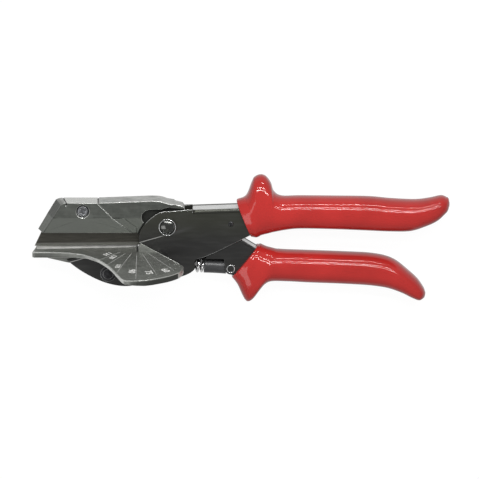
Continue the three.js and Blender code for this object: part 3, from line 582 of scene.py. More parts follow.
def marking_paint(name, colour):
    """Filled marks: pale paint, thin in places."""
    look = Look(name)
    thin = look.noise(2200.0)
    return look.finish(look.tints(colour, 0.72, 1.0, thin.over(0.35, 0.6)), thin * 0.2 + 0.4, thin, 0.01 * MM)


# Sizes and colours that a user would change


def colour_setting(label, use, default):
    return FloatVectorProperty(name=label, description=use, default=default, subtype="COLOR")


def length_setting(label, use, default):
    return FloatProperty(name=label, description=use, default=default, unit="LENGTH")


class GripSettings(bpy.types.PropertyGroup):
    """Sizes and colour of the dipped grips."""

    colour: colour_setting("Grip colour", "Colour of the vinyl", (0.44, 0.023, 0.02))
    gloss: FloatProperty(name="Gloss", description="Roughness of the skin", default=0.08, subtype="FACTOR")
    squareness: FloatProperty(
        name="Squareness", description="Power of the section's superellipse", default=2.5, min=2.0, max=8.0
    )
    thickness: length_setting("Thickness", "Thickness along the pivot axis", 21 * MM)


class LeverSettings(bpy.types.PropertyGroup):
    """Sizes and colour of the pressed levers."""

    colour: colour_setting("Lever colour", "Blued steel", (0.045, 0.045, 0.044))
    edge: length_setting("Edge radius", "Round of the sheet's edges", 0.3 * MM)
    bend: length_setting("Bend radius", "Round of the bend into the web", 1.5 * MM)


class CastingSettings(bpy.types.PropertyGroup):
    """Sizes and colours of the cast head, its clamp and the angle table."""

    head_colour: colour_setting("Head colour", "Machined casting", (0.098, 0.104, 0.094))
    clamp_colour: colour_setting("Clamp colour", "Clamp plate", (0.1, 0.106, 0.096))
    table_colour: colour_setting("Table colour", "Cast table", (0.235, 0.242, 0.224))
    edge: length_setting("Edge radius", "Round of the castings' edges", 0.5 * MM)


class ScaleSettings(bpy.types.PropertyGroup):
    """Sizes of the mitre scale."""

    step: IntProperty(name="Step", description="Degrees between two lines", default=15, min=5, max=45)
    line: length_setting("Line", "Width of a line", 0.26 * MM)
    numeral: length_setting("Numeral", "Height of a numeral", 5.2 * MM)
    paint: colour_setting("Paint", "Colour of the marks", (0.88, 0.88, 0.85))


class FittingSettings(bpy.types.PropertyGroup):
    """Sizes and colours of the pivot, screws, spring and latch."""

    bright: colour_setting("Bright steel", "Plated fittings", (0.62, 0.63, 0.63))
    dark: colour_setting("Dark steel", "Blackened fittings", (0.03, 0.03, 0.032))
    wire: length_setting("Wire", "Thickness of the spring's wire", 1.4 * MM)
    curls: IntProperty(name="Curls", description="Turns of the spring", default=7, min=4, max=20)


class StageSettings(bpy.types.PropertyGroup):
    """Camera and light."""

    tilt: FloatProperty(
        name="Tilt", description="Camera's lean from the pivot axis",
        default=math.radians(12.7), subtype="ANGLE"
    )
    width: length_setting("View width", "Width of the view at the tool", 0.25847)
    distance: length_setting("Distance", "From the camera to the tool", 4.0)
    light: FloatProperty(name="Light", description="Strength of the surrounding light", default=0.4)


# Grips

UPPER_GRIP_ROWS = [
    [0.249, 0.194, 0.303, -0.096, 0.9],
    [0.279, 0.225, 0.316, -0.1, 0.97],
    [0.299, 0.331, 0.326, -0.093, 0.99],
    [0.309, 0.369, 0.333, -0.084, 1],
    [0.33, 0.388, 0.346, -0.076, 1],
    [0.35, 0.373, 0.359, -0.069, 1],
    [0.367, 0.323, 0.373, -0.06, 1],
    [0.378, 0.255, 0.385, -0.054, 1],
    [0.405, 0.219, 0.418, -0.04, 0.99],
    [0.471, 0.22, 0.471, -0.029, 0.97],
    [0.591, 0.218, 0.592, -0.034, 0.96],
    [0.714, 0.214, 0.714, -0.045, 0.96],
    [0.79, 0.199, 0.79, -0.052, 0.96],
    [0.876, 0.19, 0.862, -0.049, 0.95],
    [0.928, 0.202, 0.917, -0.012, 0.92],
    [0.971, 0.222, 0.957, 0.029, 0.82],
    [0.991, 0.209, 0.985, 0.083, 0.62],
    [0.998, 0.2, 0.995, 0.106, 0.4],
    [1.001, 0.172, 0.9995, 0.135, 0.2],
]
LOWER_GRIP_ROWS = [
    [0.325, -0.164, 0.23, -0.417, 0.9],
    [0.332, -0.16, 0.248, -0.47, 0.97],
    [0.34, -0.168, 0.265, -0.552, 0.99],
    [0.352, -0.179, 0.276, -0.594, 1],
    [0.365, -0.187, 0.287, -0.606, 1],
    [0.377, -0.194, 0.303, -0.584, 1],
    [0.387, -0.2, 0.326, -0.516, 1],
    [0.402, -0.203, 0.344, -0.47, 0.99],
    [0.421, -0.206, 0.369, -0.445, 0.98],
    [0.461, -0.209, 0.428, -0.446, 0.97],
    [0.527, -0.214, 0.507, -0.455, 0.96],
    [0.625, -0.222, 0.606, -0.463, 0.96],
    [0.714, -0.232, 0.698, -0.474, 0.96],
    [0.775, -0.255, 0.75, -0.486, 0.95],
    [0.815, -0.295, 0.79, -0.503, 0.94],
    [0.856, -0.368, 0.835, -0.539, 0.9],
    [0.889, -0.435, 0.869, -0.577, 0.82],
    [0.91, -0.5, 0.895, -0.597, 0.66],
    [0.917, -0.537, 0.912, -0.58, 0.3],
]
TIP_REACH, TIP_DRAW = 0.15 * MM, 0.8
MOUTH_REACH, MOUTH_DRAW = 0.7 * MM, 0.06


def grip_surface(rows, thickness, squareness, sides=72, steps=7):
    """Loft through sections. A section is the superellipse about its middle m with half height h towards
    its top point and half thickness t: m + h c + t s, where c and s are the cosine and sine of the angle
    raised to the power 2 over the squareness. Rows are joined by Catmull-Rom curves, and the mouth and
    the tip are rounded by rings drawn in towards the middle."""
    rows = flow(rows, steps)
    top, low = spots(rows[:, :2]), spots(rows[:, 2:4])
    middle, half = (top + low) / 2, (top - low) / 2
    corner = circle(1, sides)
    up, side = (np.sign(corner) * np.abs(corner) ** (2 / squareness)).T
    grid = np.empty((len(rows), sides, 3))
    grid[..., :2] = middle[:, None] + half[:, None] * up[None, :, None]
    grid[..., 2] = MIDDLE + (rows[:, 4] * thickness / 2)[:, None] * side
    tip = end_rings(grid[-1], middle[-1] - middle[-3], TIP_REACH, TIP_DRAW)
    mouth = end_rings(grid[0], middle[0] - middle[1], MOUTH_REACH, MOUTH_DRAW)[::-1]
    return rings(np.concatenate([mouth, grid, tip]), 0.0)


def end_rings(ring, onward, reach, draw, steps=5):
    """Rings that round off an end: ring k is drawn towards its centre by a share draw times one minus the
    cosine of the turn, and moved on by reach times the sine."""
    turn = np.linspace(0, math.pi / 2, steps + 1)[1:, None, None]
    drawn = (ring.mean(0) - ring) * draw * (1 - np.cos(turn))
    return ring + drawn + np.array([*unit(onward), 0]) * reach * np.sin(turn)


class MITRE_OT_grips(bpy.types.Operator):
    """Add both dipped grips"""

    bl_idname = "mitre.grips"
    bl_label = "Grips"

    def execute(self, context):
        s = context.scene.mitre_grips
        look = dipped_vinyl("dipped_red_vinyl", tuple(s.colour), s.gloss)
        for name, rows, body in (
            ("upper_grip", UPPER_GRIP_ROWS, "anvil_lever"),
            ("lower_grip", LOWER_GRIP_ROWS, "blade_lever"),
        ):
            surface = grip_surface(rows, s.thickness, s.squareness)
            add_piece("dipped_" + name, surface, look, body, "red_vinyl", name)
        return {"FINISHED"}


# Levers

LEVER_TOP = [[0.823, 0.157], [0.395, 0.174], [0.252, 0.147], [0.069, 0.133], [0.018, 0.124]]
LEVER_NOSE = [[0.018, 0.124], [-0.033, 0.119], [-0.076, 0.101], [-0.118, 0.07], [-0.166, 0.022],
              [-0.196, -0.025], [-0.21, -0.08], [-0.207, -0.128]]
LEVER_JAW_TOP = [[-0.207, -0.249], [-0.7, -0.249], [-0.745, -0.26]]
LEVER_JAW = [[-0.745, -0.26], [-0.681, -0.316], [-0.605, -0.369], [-0.511, -0.42], [-0.421, -0.453],
             [-0.323, -0.469], [-0.225, -0.46], [-0.027, -0.428], [0.062, -0.384], [0.097, -0.333],
             [0.097, -0.266], [0.13, -0.24], [0.173, -0.2]]
FAR_JAW = [[0.097, -0.372], [0.137, -0.322], [0.173, -0.23]]
LEVER_HEEL = [[0.298, -0.064], [0.342, -0.037], [0.395, 0.009], [0.823, -0.007]]
WEB_START, WEB_END = 0.09, 0.8

INNER_TOP = [[0.711, -0.274], [0.382, -0.241], [0.326, -0.193], [0.261, -0.106], [0.092, 0.06]]
INNER_NOSE = [[0.092, 0.06], [0.055, 0.094], [0, 0.112], [-0.08, 0.088], [-0.14, 0.035],
              [-0.168, -0.04], [-0.16, -0.11], [-0.11, -0.15]]
INNER_BELLY = [[-0.04, -0.166], [0.055, -0.178], [0.1, -0.182], [0.143, -0.2], [0.1435, -0.226],
               [0.1356, -0.247], [0.13, -0.261], [0.2, -0.262]]
INNER_TANG = [[0.268, -0.405], [0.382, -0.405], [0.711, -0.428]]
LUG_RADIUS = 0.047 * BODY_HEIGHT
GAUGE, INNER_GAUGE = 1.4 * MM, 1.2 * MM
SKIRT, INNER_SKIRT = 2.4 * MM, 1.2 * MM
INNER_BEND = 0.8 * MM
INNER_WEB = 0.247, 0.7
WEB_PROUD = 0.02 * MM
COVERED_DROP = 1.8 * MM
SHEET_CORNER = 0.4 * MM
# shares of edge wearing and painted highlight left on the far cheek and the lower lever's cheeks;
# WEB_FAR_SHINE is the painted shade level of the far part of the web's top
FAR_SHINE, INNER_SHINE, WEB_FAR_SHINE = 0.5, 0.15, 0.42
WEB_SPLIT = -0.36, -0.44, -0.68, -0.78
BEND_STEPS = 7


def arch(half, level, drop, bend, top=()):
    """Arch from its right foot to its left: each corner is a quarter circle of radius bend."""
    turn = np.linspace(0, math.pi / 2, BEND_STEPS)
    corner = np.column_stack([half - bend + bend * np.cos(turn), level - bend + bend * np.sin(turn)])
    return np.vstack([[[half, -drop]], corner, *top, (corner * [-1, 1])[::-1], [[-half, -drop]]])


def web_section(half, drop, bend, gauge):
    """Section of a web with its two bends: an arch, and an arch one gauge further in. The near two thirds
    of its top are painted bright as a painted reflection, and the rest is painted dull as shade beyond a
    painted dark line."""
    split = np.array([[share * half, 0] for share in WEB_SPLIT])
    outer = arch(half, 0, drop, bend, [split])
    inner = arch(half - gauge, -gauge, drop, max(bend - gauge, 0.1 * MM))
    near = ramp(np.sin(np.linspace(0, math.pi / 2, BEND_STEPS)), 2 / 3, 1)
    far = np.full(1 + BEND_STEPS, WEB_FAR_SHINE)
    # painted reflection on the near part of the web's top, painted shade on the far part
    bright = np.concatenate([[0], near, [1, 0, 0], far, [0], np.zeros(len(inner))])
    return np.vstack([outer, inner[::-1]])[::-1], bright[::-1]


def stretch_of(path, start, end, steps):
    """Points at equal steps of x between two places on a line of points."""
    order = np.argsort(path[:, 0])
    x = np.linspace(start, end, steps)
    return np.column_stack([x, np.interp(x, path[order, 0], path[order, 1])])


def upper_cheek_outline(jaw):
    """Outline of a cheek of the upper lever, its top lowered where the web and its bends cover it."""
    top = spots(LEVER_TOP)
    covered = stretch_of(top, top[0, 0], WEB_START * HANDLE_REACH, 24) - [0, COVERED_DROP]
    open_top = np.vstack([stretch_of(top, WEB_START * HANDLE_REACH, top[3, 0], 2)[:1], top[3:]])
    nose = flow(spots(LEVER_NOSE), 6)
    jaw = flow(spots(jaw), 4)
    return np.vstack([covered, open_top, nose[1:], spots(LEVER_JAW_TOP), jaw[1:], spots(LEVER_HEEL)])


def lower_cheek_outline():
    """Outline of a cheek of the lower lever, round its lug."""
    angle = np.radians(np.linspace(170, 270, 14))
    lug = SPRING_TO + LUG_RADIUS * np.column_stack([np.cos(angle), np.sin(angle)])
    nose = flow(spots(INNER_NOSE), 5)
    return np.vstack([spots(INNER_TOP)[:-1], nose, spots(INNER_BELLY), lug, spots(INNER_TANG)])


def cheek_plate(outline, inside, outside, edge):
    """A cheek between two distances from the middle plane."""
    return plate(eased(outline, SHEET_CORNER), MIDDLE + inside, MIDDLE + outside, edge)


def web_surface(line, start, end, *section):
    """A web along a lever's top line, between two shares of the handle's reach."""
    path = stretch_of(spots(line), start * HANDLE_REACH, end * HANDLE_REACH, 60)
    return strip_along(path, *web_section(*section))


class MITRE_OT_levers(bpy.types.Operator):
    """Add the pressed cheeks and webs of both levers"""

    bl_idname = "mitre.levers"
    bl_label = "Levers"

    def execute(self, context):
        s = context.scene.mitre_levers
        look = blued_steel("blued_steel", tuple(s.colour))
        outlines = upper_cheek_outline(LEVER_JAW), upper_cheek_outline(LEVER_JAW[:9] + FAR_JAW)
        near, far = (cheek_plate(outline, CHEEK_IN, CHEEK_OUT, s.edge) for outline in outlines)
        # edge wearing and painted highlight on the near cheek: none at the jaws' end, stronger higher up
        near = rubbed(near, lambda x, y: ramp(x, -14, -11) * np.clip((y + 19) / 3, 0.15, 0.8))
        web = web_surface(LEVER_TOP, WEB_START, WEB_END, CHEEK_OUT + WEB_PROUD, SKIRT, s.bend, GAUGE)
        upper = joined(near, flipped(rubbed(far, FAR_SHINE)), web)
        cheek = rubbed(cheek_plate(lower_cheek_outline(), INNER_IN, INNER_OUT, s.edge), INNER_SHINE)
        web = web_surface(INNER_TOP, *INNER_WEB, INNER_OUT + WEB_PROUD, INNER_SKIRT, INNER_BEND, INNER_GAUGE)
        lower = joined(cheek, flipped(cheek), web)
        for side, sheet, body in (("upper", upper, "anvil_lever"), ("lower", lower, "blade_lever")):
            name, node = side + "_lever_sheet", side + "_handle_channel"
            add_piece(name, sheet, look, body, "blued_steel", node, capped=True)
        return {"FINISHED"}


# Angle table

WING_EDGE = [[-0.218, 0], [-0.971, 0], [-1, 0.165], [-0.985, 0.18]]
WING_LEFT = [[-0.985, 0.18], [-0.793, 0.188], [-0.643, 0.234], [-0.549, 0.335], [-0.492, 0.424],
             [-0.417, 0.618], [-0.36, 0.838], [-0.323, 0.965], [-0.276, 0.998], [-0.222, 0.996]]
WING_FRONT = [[-0.222, 0.996], [-0.129, 0.968], [-0.055, 0.921], [0.009, 0.861], [0.044, 0.762],
              [0.057, 0.653], [0.057, 0.564], [0.048, 0.531]]
CORE = [[-0.96, -0.2], [-0.955, -0.235], [-0.75, -0.285], [-0.68, -0.3], [-0.605, -0.348],
        [-0.511, -0.398], [-0.424, -0.43], [-0.323, -0.447], [-0.2, -0.44], [-0.2, -0.249], [-0.218, -0.2]]
FLANGE = [[-0.215, -0.15], [-0.196, -0.124], [0.044, -0.289], [0.03, -0.33], [-0.215, -0.33]]
DECK_END, DECK_NOSE, ROOT_END = -0.218 * JAW_REACH, -0.971 * JAW_REACH, -0.078 * JAW_REACH
DECK_HALF = 8.5 * MM
FLANGE_THICKNESS = 1.4 * MM
WING_THINNING = 0.45
THINNING_FROM, THINNING_TO, THINNING_RISE = -12 * MM, -27 * MM, 6 * MM
WING_CORNER, CORE_CORNER, FLANGE_CORNER = 0.8 * MM, 0.6 * MM, 0.5 * MM
CORNER_FROM = 6 * MM


def onto_wing(points, slope=DECK_SLOPE):
    """Points (x, out, rise) of the wing's plane in the frame: out runs along Z and down by the slope, and
    rise stands square to the wing's top."""
    x, out, rise = points.T
    y = DECK_TOP - out * math.sin(slope) + rise * math.cos(slope)
    z = MIDDLE + out * math.cos(slope) + rise * math.sin(slope)
    return np.column_stack([x, y, z])


def table_surface(edge):
    """The wing, the far half of the deck, the core between the cheeks and the flange beside the near one.
    The wing's rim gets painted light where it faces the jaws' end and painted shade where it faces away,
    and a painted highlight at its corner beside the lever. It thins from below towards the jaws' end."""
    root = (CHEEK_OUT + FACE_GAP + DECK_THICKNESS * math.sin(DECK_SLOPE)) / math.cos(DECK_SLOPE)
    edge_line, left, front = (spots(line, WING_REACH) for line in (WING_EDGE, WING_LEFT, WING_FRONT))
    close = [[ROOT_END, root], [DECK_END, root]]
    wing = np.vstack([edge_line, flow(left, 6)[1:], flow(front, 6)[1:], close])
    # painted light on the rim's walls, from the jaws' end
    points, faces, wear = plate(eased(wing, WING_CORNER), -DECK_THICKNESS, 0, edge * 1.5, shine=(-1.5, -0.45))
    x, out, rise = points.T
    thinning = WING_THINNING * ramp(x, THINNING_FROM, THINNING_TO) * ramp(out, root, root + THINNING_RISE)
    # painted highlight at the corner beside the lever
    wear = np.where(x > CORNER_FROM, abs(wear) * 0.6, wear)
    leaf = np.column_stack([x, out, rise * (1 - thinning)]), faces, wear
    far = [[DECK_NOSE, -DECK_HALF], [DECK_END, -DECK_HALF], [DECK_END, FACE_GAP], [DECK_NOSE, FACE_GAP]]
    back = plate(eased(far, FLANGE_CORNER), -DECK_THICKNESS, 0, edge)
    core = plate(eased(spots(CORE), CORE_CORNER), MIDDLE - INNER_OUT, MIDDLE + INNER_OUT, edge)
    flange = plate(eased(spots(FLANGE), FLANGE_CORNER), FACE, FACE + FLANGE_THICKNESS, edge * 0.6)
    flange = rubbed(flange, lambda x, y: np.clip((x + 13) / 5, 0, 0.9))
    return joined(as_wing(leaf), as_wing(back, 0.0), rubbed(core, 0.3), flange)


def as_wing(surface, slope=DECK_SLOPE):
    """A plate made in the wing's plane, laid into the frame. The plane's handedness is the other way
    round, so the faces are turned."""
    return onto_wing(surface[0], slope), [face[::-1] for face in surface[1]], surface[2]


class MITRE_OT_table(bpy.types.Operator):
    """Add the angle table with its wing"""

    bl_idname = "mitre.table"
    bl_label = "Angle table"

    def execute(self, context):
        s = context.scene.mitre_castings
        look = cast_metal("cast_table", tuple(s.table_colour))
        table = table_surface(s.edge)
        add_piece("mitre_table", table, look, "anvil_lever", "cast_grey", "angle_table", capped=True)
        dress(plain_skin("pale_nylon", NYLON, 0.42, 1600.0, 0.03 * MM), "anvil_pad")
        return {"FINISHED"}


# Mitre scale: for each angle the two ends of its line from the apex and the place of its numeral, in mm

SCALE = {
    135: (11.4, 28.6, -32.3, 11.4),
    120: (11.8, 32.0, -29.2, 15.8),
    105: (10.0, 41.5, -26.4, 29.0),
    90: (9.9, 48.0, -18.9, 36.4),
    75: (10.6, 43.0, -9.8, 38.2),
    60: (9.8, 40.7, -0.9, 35.2),
}
LINE_RISE, NUMERAL_RISE = 0.05 * MM, 0.04 * MM
THREE_DIGITS = 0.7
NUMERAL_WEIGHT = 0.018
LINE_DIMMING = 0.6


def scale_line(angle, start, end, width, steps=24, sides=8):
    """A mark from the apex outwards: a thin bar whose section is a low arch, run from one radius to the
    other along the angle and tapered at both ends."""
    direction = np.array([math.cos(math.radians(angle)), math.sin(math.radians(angle))])
    arc = circle(1, sides)
    along = np.linspace(0, 1, steps)
    taper = np.minimum(1, 4 * np.minimum(along, 1 - along) + 0.35)[:, None]
    grid = np.empty((steps, sides, 3))
    reach = (width / 2) * arc[:, 0] * taper
    grid[..., :2] = SCALE_APEX + (start + (end - start) * along)[:, None, None] * direction
    grid[..., :2] += reach[..., None] * [-direction[1], direction[0]]
    grid[..., 2] = LINE_RISE * arc[:, 1] * taper
    return moved(rings(grid, 0.0), onto_wing)


def numeral_surface(text, at, turn, height):
    """Numerals laid on the wing: the built-in lettering as a thin solid, read from in front of the wing."""
    curve = bpy.data.curves.new("numeral", "FONT")
    curve.body = text
    curve.size = height
    curve.align_x, curve.align_y = "CENTER", "CENTER"
    curve.extrude = NUMERAL_RISE
    curve.offset = NUMERAL_WEIGHT * height
    curve.resolution_u = 3
    holder = bpy.data.objects.new("numeral", curve)
    mesh = bpy.data.meshes.new_from_object(holder)
    points = np.array([corner.co[:] for corner in mesh.vertices])
    faces = [list(face.vertices) for face in mesh.polygons]
    bpy.data.objects.remove(holder)
    bpy.data.curves.remove(curve)
    bpy.data.meshes.remove(mesh)
    x, y = rotation(turn) @ points[:, :2].T
    laid = np.column_stack([at[0] + x, at[1] - y, points[:, 2]])
    return onto_wing(laid), faces, np.zeros(len(points))


class MITRE_OT_scale(bpy.types.Operator):
    """Add the lines and numerals of the mitre scale"""

    bl_idname = "mitre.scale"
    bl_label = "Mitre scale"

    def execute(self, context):
        s = context.scene.mitre_scale
        paint = marking_paint("scale_paint", tuple(s.paint))
        groove = marking_paint("scale_line_paint", tinted(tuple(s.paint), LINE_DIMMING))
        lines, numerals = [], []
        for angle, places in SCALE.items():
            if angle % s.step == 0:
                start, end, *at = np.array(places) * MM
                height = s.numeral * (THREE_DIGITS if angle > 99 else 1)
                lines.append(scale_line(angle, start, end, s.line))
                numerals.append(numeral_surface(str(angle), at, math.radians(-angle), height))
        add_piece("scale_lines", joined(*lines), groove, "anvil_lever", "pale_nylon")
        add_piece("scale_numerals", joined(*numerals), paint, "anvil_lever", "pale_nylon")
        return {"FINISHED"}


# Cast head, clamp and blade

TAIL_HALF = CHEEK_IN - 0.3 * MM
CREASE = 0.068 * BODY_HEIGHT
FLANK_FOOT = -0.055 * BODY_HEIGHT
FLANK_DEPTH = 1.9 * MM
FRONT_SKEW = 2.9 * MM
FRONT_FADE = 12 * MM
JOINT_EDGE = 0.03 * MM
# UPWARD: how strongly the head's walls are painted light from above, and painted shade away from it
UPWARD = 0.62
CREASE_BAND = 0.2 * MM
HEAD_CORNER, NEAR_CORNER, CLAMP_CORNER = 0.25 * MM, 0.2 * MM, 0.1 * MM
STRIP_DROP, JOINT_DROP, JOINT_CORNER = 0.1 * MM, 0.3 * MM, 0.05 * MM
TONGUE_HALF, TONGUE_EDGE = 4 * MM, 0.2 * MM
RECESS_RADIUS = 3.5 * MM
CAST_EDGE_SHARE = 0.7
FRONT = spots([[-0.8, 0.187], [-0.934, -0.048]])
FRONT_EDGE = [[-0.938, -0.055], [-0.806, 0.173], [-0.785, 0.183]]
NOTCH = [[-0.762, 0.187], [-0.762, 0.163], [-0.507, 0.163], [-0.507, 0.188]]
CROWN = flow([[-0.123, 0.203], [-0.055, 0.2], [0.0, 0.183], [0.0257, 0.173]], 4)
TAIL = [[0.062, 0.13], [0.054, 0.157], [0.016, 0.177], [-0.04, 0.192], [-0.04, 0.15], [0.0, 0.143]]
POCKET = [[0.0, 0.1485], [-0.041, 0.136], [-0.134, 0.135], [-0.165, 0.121], [-0.186, 0.096],
          [-0.191, 0.067], [-0.184, 0.043], [-0.173, 0.028], [-0.202, -0.02], [-0.217, -0.055]]
SPLIT = [[-0.508, 0.177], [-0.404, 0.068], [-0.267, -0.047], [-0.262, -0.055]]
STEP = [[-0.225, -0.055], [-0.225, -0.014], [-0.262, 0.017], [-0.32, 0.068]]
TONGUE = [[-0.22, 0.13], [0.0, 0.14], [0.058, 0.13], [0.058, -0.06], [0.06, -0.135], [0.015, -0.165],
          [-0.1, -0.158], [-0.175, -0.122], [-0.225, -0.055], [-0.4, -0.055], [-0.4, 0.1]]
STRAP = [[-0.754, 0.165], [-0.754, 0.187], [-0.5165, 0.187], [-0.5165, 0.165]]
STRAP_JOINTS = (-0.761, -0.755), (-0.5155, -0.508)
JOINT_FOOT, JOINT_TOP = 0.166, 0.182


def head_bent(points):
    """Head points with both faces drawn in and the front leant back. Below the crease the distance from
    the middle plane shrinks evenly down to the foot. Near the front x grows by the skew times the share
    of the thickness, and this fades out along x."""
    x, y, z = points.T
    off = z - MIDDLE
    fall = ramp(y, CREASE, FLANK_FOOT)
    front = FRONT[1, 0] + (FRONT[0, 0] - FRONT[1, 0]) * (y - FRONT[1, 1]) / (FRONT[0, 1] - FRONT[1, 1])
    near = ramp(x, front + FRONT_FADE, front)
    lean = FRONT_SKEW * off / (2 * HEAD_HALF) * near
    return np.column_stack([x + lean, y, MIDDLE + off * (1 - fall * FLANK_DEPTH / HEAD_HALF)])


def bent_plate(shares, low, high, edge, radius, shine=0.0, **kept):
    """A plate of the head between two heights over the middle plane, bent at the crease."""
    outline = eased(spots(shares), radius)
    blank = plate(outline, MIDDLE + low, MIDDLE + high, edge, shine=(shine / 3, shine), **kept)
    return moved(scored(blank, [CREASE + CREASE_BAND, CREASE - CREASE_BAND]), head_bent)


def head_surface(edge):
    """Far half of the head, its near half behind the clamp's joint, the tail that dips between the upper
    lever's cheeks as the jaws open, and the strip of flank between joint and step."""
    behind = np.vstack([[[-0.507, 0.188]], CROWN, POCKET, STEP, [[-0.403, 0.068], [-0.507, 0.1775]]])
    far = np.vstack([FRONT_EDGE, NOTCH, CROWN, POCKET])
    far = bent_plate(far, -HEAD_HALF, 0, JOINT_EDGE, HEAD_CORNER, UPWARD, back=edge)
    near = bent_plate(behind, 0, HEAD_HALF, edge, NEAR_CORNER, UPWARD, back=JOINT_EDGE)
    near = rubbed(near, lambda x, y: np.where((y < 5.2) & (x < -14.9), 0.3, 1))
    tail = bent_plate(TAIL, -TAIL_HALF, TAIL_HALF, edge, NEAR_CORNER, UPWARD)
    flank = np.vstack([SPLIT[1:], STEP])
    strip = bent_plate(flank, 0, HEAD_HALF - STRIP_DROP, edge, CLAMP_CORNER, back=JOINT_EDGE)
    return joined(far, near, tail, rubbed(strip, 0.25))


def joint_surface():
    """Black bars that close the two joints beside the strap a little below its top: painted shade for the
    dark inside the joints.
    """
    half, low, top = HEAD_HALF - JOINT_DROP, JOINT_FOOT, JOINT_TOP
    bars = [[[a, low], [b, low], [b, top], [a, top]] for a, b in STRAP_JOINTS]
    return joined(*(bent_plate(bar, -half, half, JOINT_CORNER, JOINT_CORNER) for bar in bars))


def clamp_surface(edge):
    """Near block of the clamp with a round recess for its screw, and the strap over the far half."""
    top = [*FRONT_EDGE[1:], [-0.762, 0.187], [-0.762, 0.165], *STRAP[:3]]
    block, recess = np.vstack([top, SPLIT, FRONT_EDGE[:1]]), circle(RECESS_RADIUS, 40, CLAMP_SCREW)
    block = bent_plate(block, 0, HEAD_HALF, edge, CLAMP_CORNER, 1.0, holes=[recess], back=JOINT_EDGE)
    strap = bent_plate(STRAP, -HEAD_HALF, 0, JOINT_EDGE, CLAMP_CORNER, 1.0, back=edge)
    return joined(rubbed(block, lambda x, y: np.where(x * MM < -0.757 * JAW_REACH, 0.5, 1)), strap)


class MITRE_OT_head(bpy.types.Operator):
    """Add the cast head and its clamp, and dress the blade and the hidden pins"""

    bl_idname = "mitre.head"
    bl_label = "Blade head"

    def execute(self, context):
        s = context.scene.mitre_castings
        head, clamp = (form(s.edge * CAST_EDGE_SHARE) for form in (head_surface, clamp_surface))
        look = cast_metal("cast_head", tuple(s.head_colour), crease=True)
        add_piece("cast_blade_head", head, look, "blade_lever", "cast_grey", "blade_head", capped=True)
        look = cast_metal("clamp_plate", tuple(s.clamp_colour), crease=True)
        add_piece("strapped_clamp", clamp, look, "blade_lever", "clamp_grey", "blade_clamp", capped=True)
        tongue = plate(spots(TONGUE), MIDDLE - TONGUE_HALF, MIDDLE + TONGUE_HALF, TONGUE_EDGE)
        # painted shade: the tongue between the cheeks is the head's casting at 0.3 of its colour, with no
        # bright edges
        shade = cast_metal("head_tongue", tinted(s.head_colour, 0.3))
        add_piece("head_tongue", rubbed(tongue, 0), shade, "blade_lever", "cast_grey", capped=True)
        # painted shade: black bars stand for the dark inside the strap's joints
        joint_shade = dark_fitting("painted_joint_shade", JOINT_SHADE_BLACK)
        add_piece("strap_joint_fill", joint_surface(), joint_shade, "blade_lever", "dark_steel", capped=True)
        dress(ground_blade("ground_blade", BLADE_STEEL), "blade")
        dress(polished_steel("pin_steel", PIN_STEEL, 0.3), "blade_pin_front", "blade_pin_rear")
        dress(dark_fitting("head_rivet_steel", RIVET_STEEL), "head_rivet_front", "head_rivet_rear")
        return {"FINISHED"}


# Pivot, screws and rivets: radii and heights of their profiles in mm, over the outer face or the middle
# plane. The axis is left open by a hair, 0.05.

BOLT_RING = [[0.05, 0], [4.7, 0], [4.7, 1.2], [4.5, 1.4], [4.25, 1.4], [4.1, 1.15], [4.05, 0.2], [0.05, 0.15]]
BOLT_SHANK = [[0.05, -8.6], [3, -8.6], [3, 7.7], [0.05, 7.7]]
BOLT_DOME = [[0.05, 0.1], [4, 0.1], *([4 * out, 1.35 - 1.05 * out**2] for out in np.linspace(1, 0.02, 12))]
TABLE_SCREW_SIDE = [[0.05, -14], [2, -14], [2, 0], [4.2, 0],
                    [4.2, 0.42], [2.95, 0.45], [2.8, 0.8], [0.05, 0.85]]
TABLE_RIVET_SIDE = [[0.05, -8.3], [2, -8.25], [3, -7.55], [1.8, -7.5],
                    [1.8, 7.5], [3, 7.55], [2, 8.25], [0.05, 8.3]]
CLAMP_SCREW_SIDE = [[0.05, -7], [1.5, -7], [1.5, 4.5], [3.45, 4.5],
                    [3.45, 4.8], [2.7, 4.9], [2.7, 5.5], [0.05, 5.55]]
HOLLOW_RIVET_WALL = [[1.75, -6.4], [2.3, -6.4], [2.3, -5.8], [1.9, -5.8],
                     [1.9, 5.8], [2.3, 5.8], [2.3, 6.4], [1.75, 6.4]]
CROSS_ARM, CROSS_HALF = 1.8 * MM, 0.45 * MM
SCREW_RADIUS = 2.7 * MM
SCREW_TOP = MIDDLE + HEAD_HALF - 0.9 * MM


def headed(profile, at, base=MIDDLE, radius=0.12 * MM, sides=56):
    """Turned head over a base, with its corners rounded. Edge wearing and painted highlight are strongest
    on the outermost rounds.
    """
    line = rounded(np.asarray(profile) * MM + [0, base], radius)
    slope = np.diff(line, axis=0)
    angle = np.unwrap(np.arctan2(slope[:, 1], slope[:, 0]))
    bend = np.concatenate([[0], np.clip(np.diff(angle) * 2.2, 0, 1), [0]])
    return rings(turned_grid(line, at, sides), bend)


def cross_screw():
    """Clamp screw: shank and seat turned about its axis, and on top a disc with a cross cut through it."""
    quarter = np.array([[CROSS_HALF, CROSS_HALF], [CROSS_HALF, CROSS_ARM], [-CROSS_HALF, CROSS_ARM]])
    turns = np.radians([22.5, 112.5, 202.5, 292.5])
    cross = np.vstack([quarter @ rotation(turn).T for turn in turns]) + CLAMP_SCREW
    face = circle(SCREW_RADIUS, 48, CLAMP_SCREW)
    disc = plate(face, SCREW_TOP - MM, SCREW_TOP, 0.3 * MM, holes=[eased(cross, 0.12 * MM)])
    return joined(headed(CLAMP_SCREW_SIDE, CLAMP_SCREW), disc)


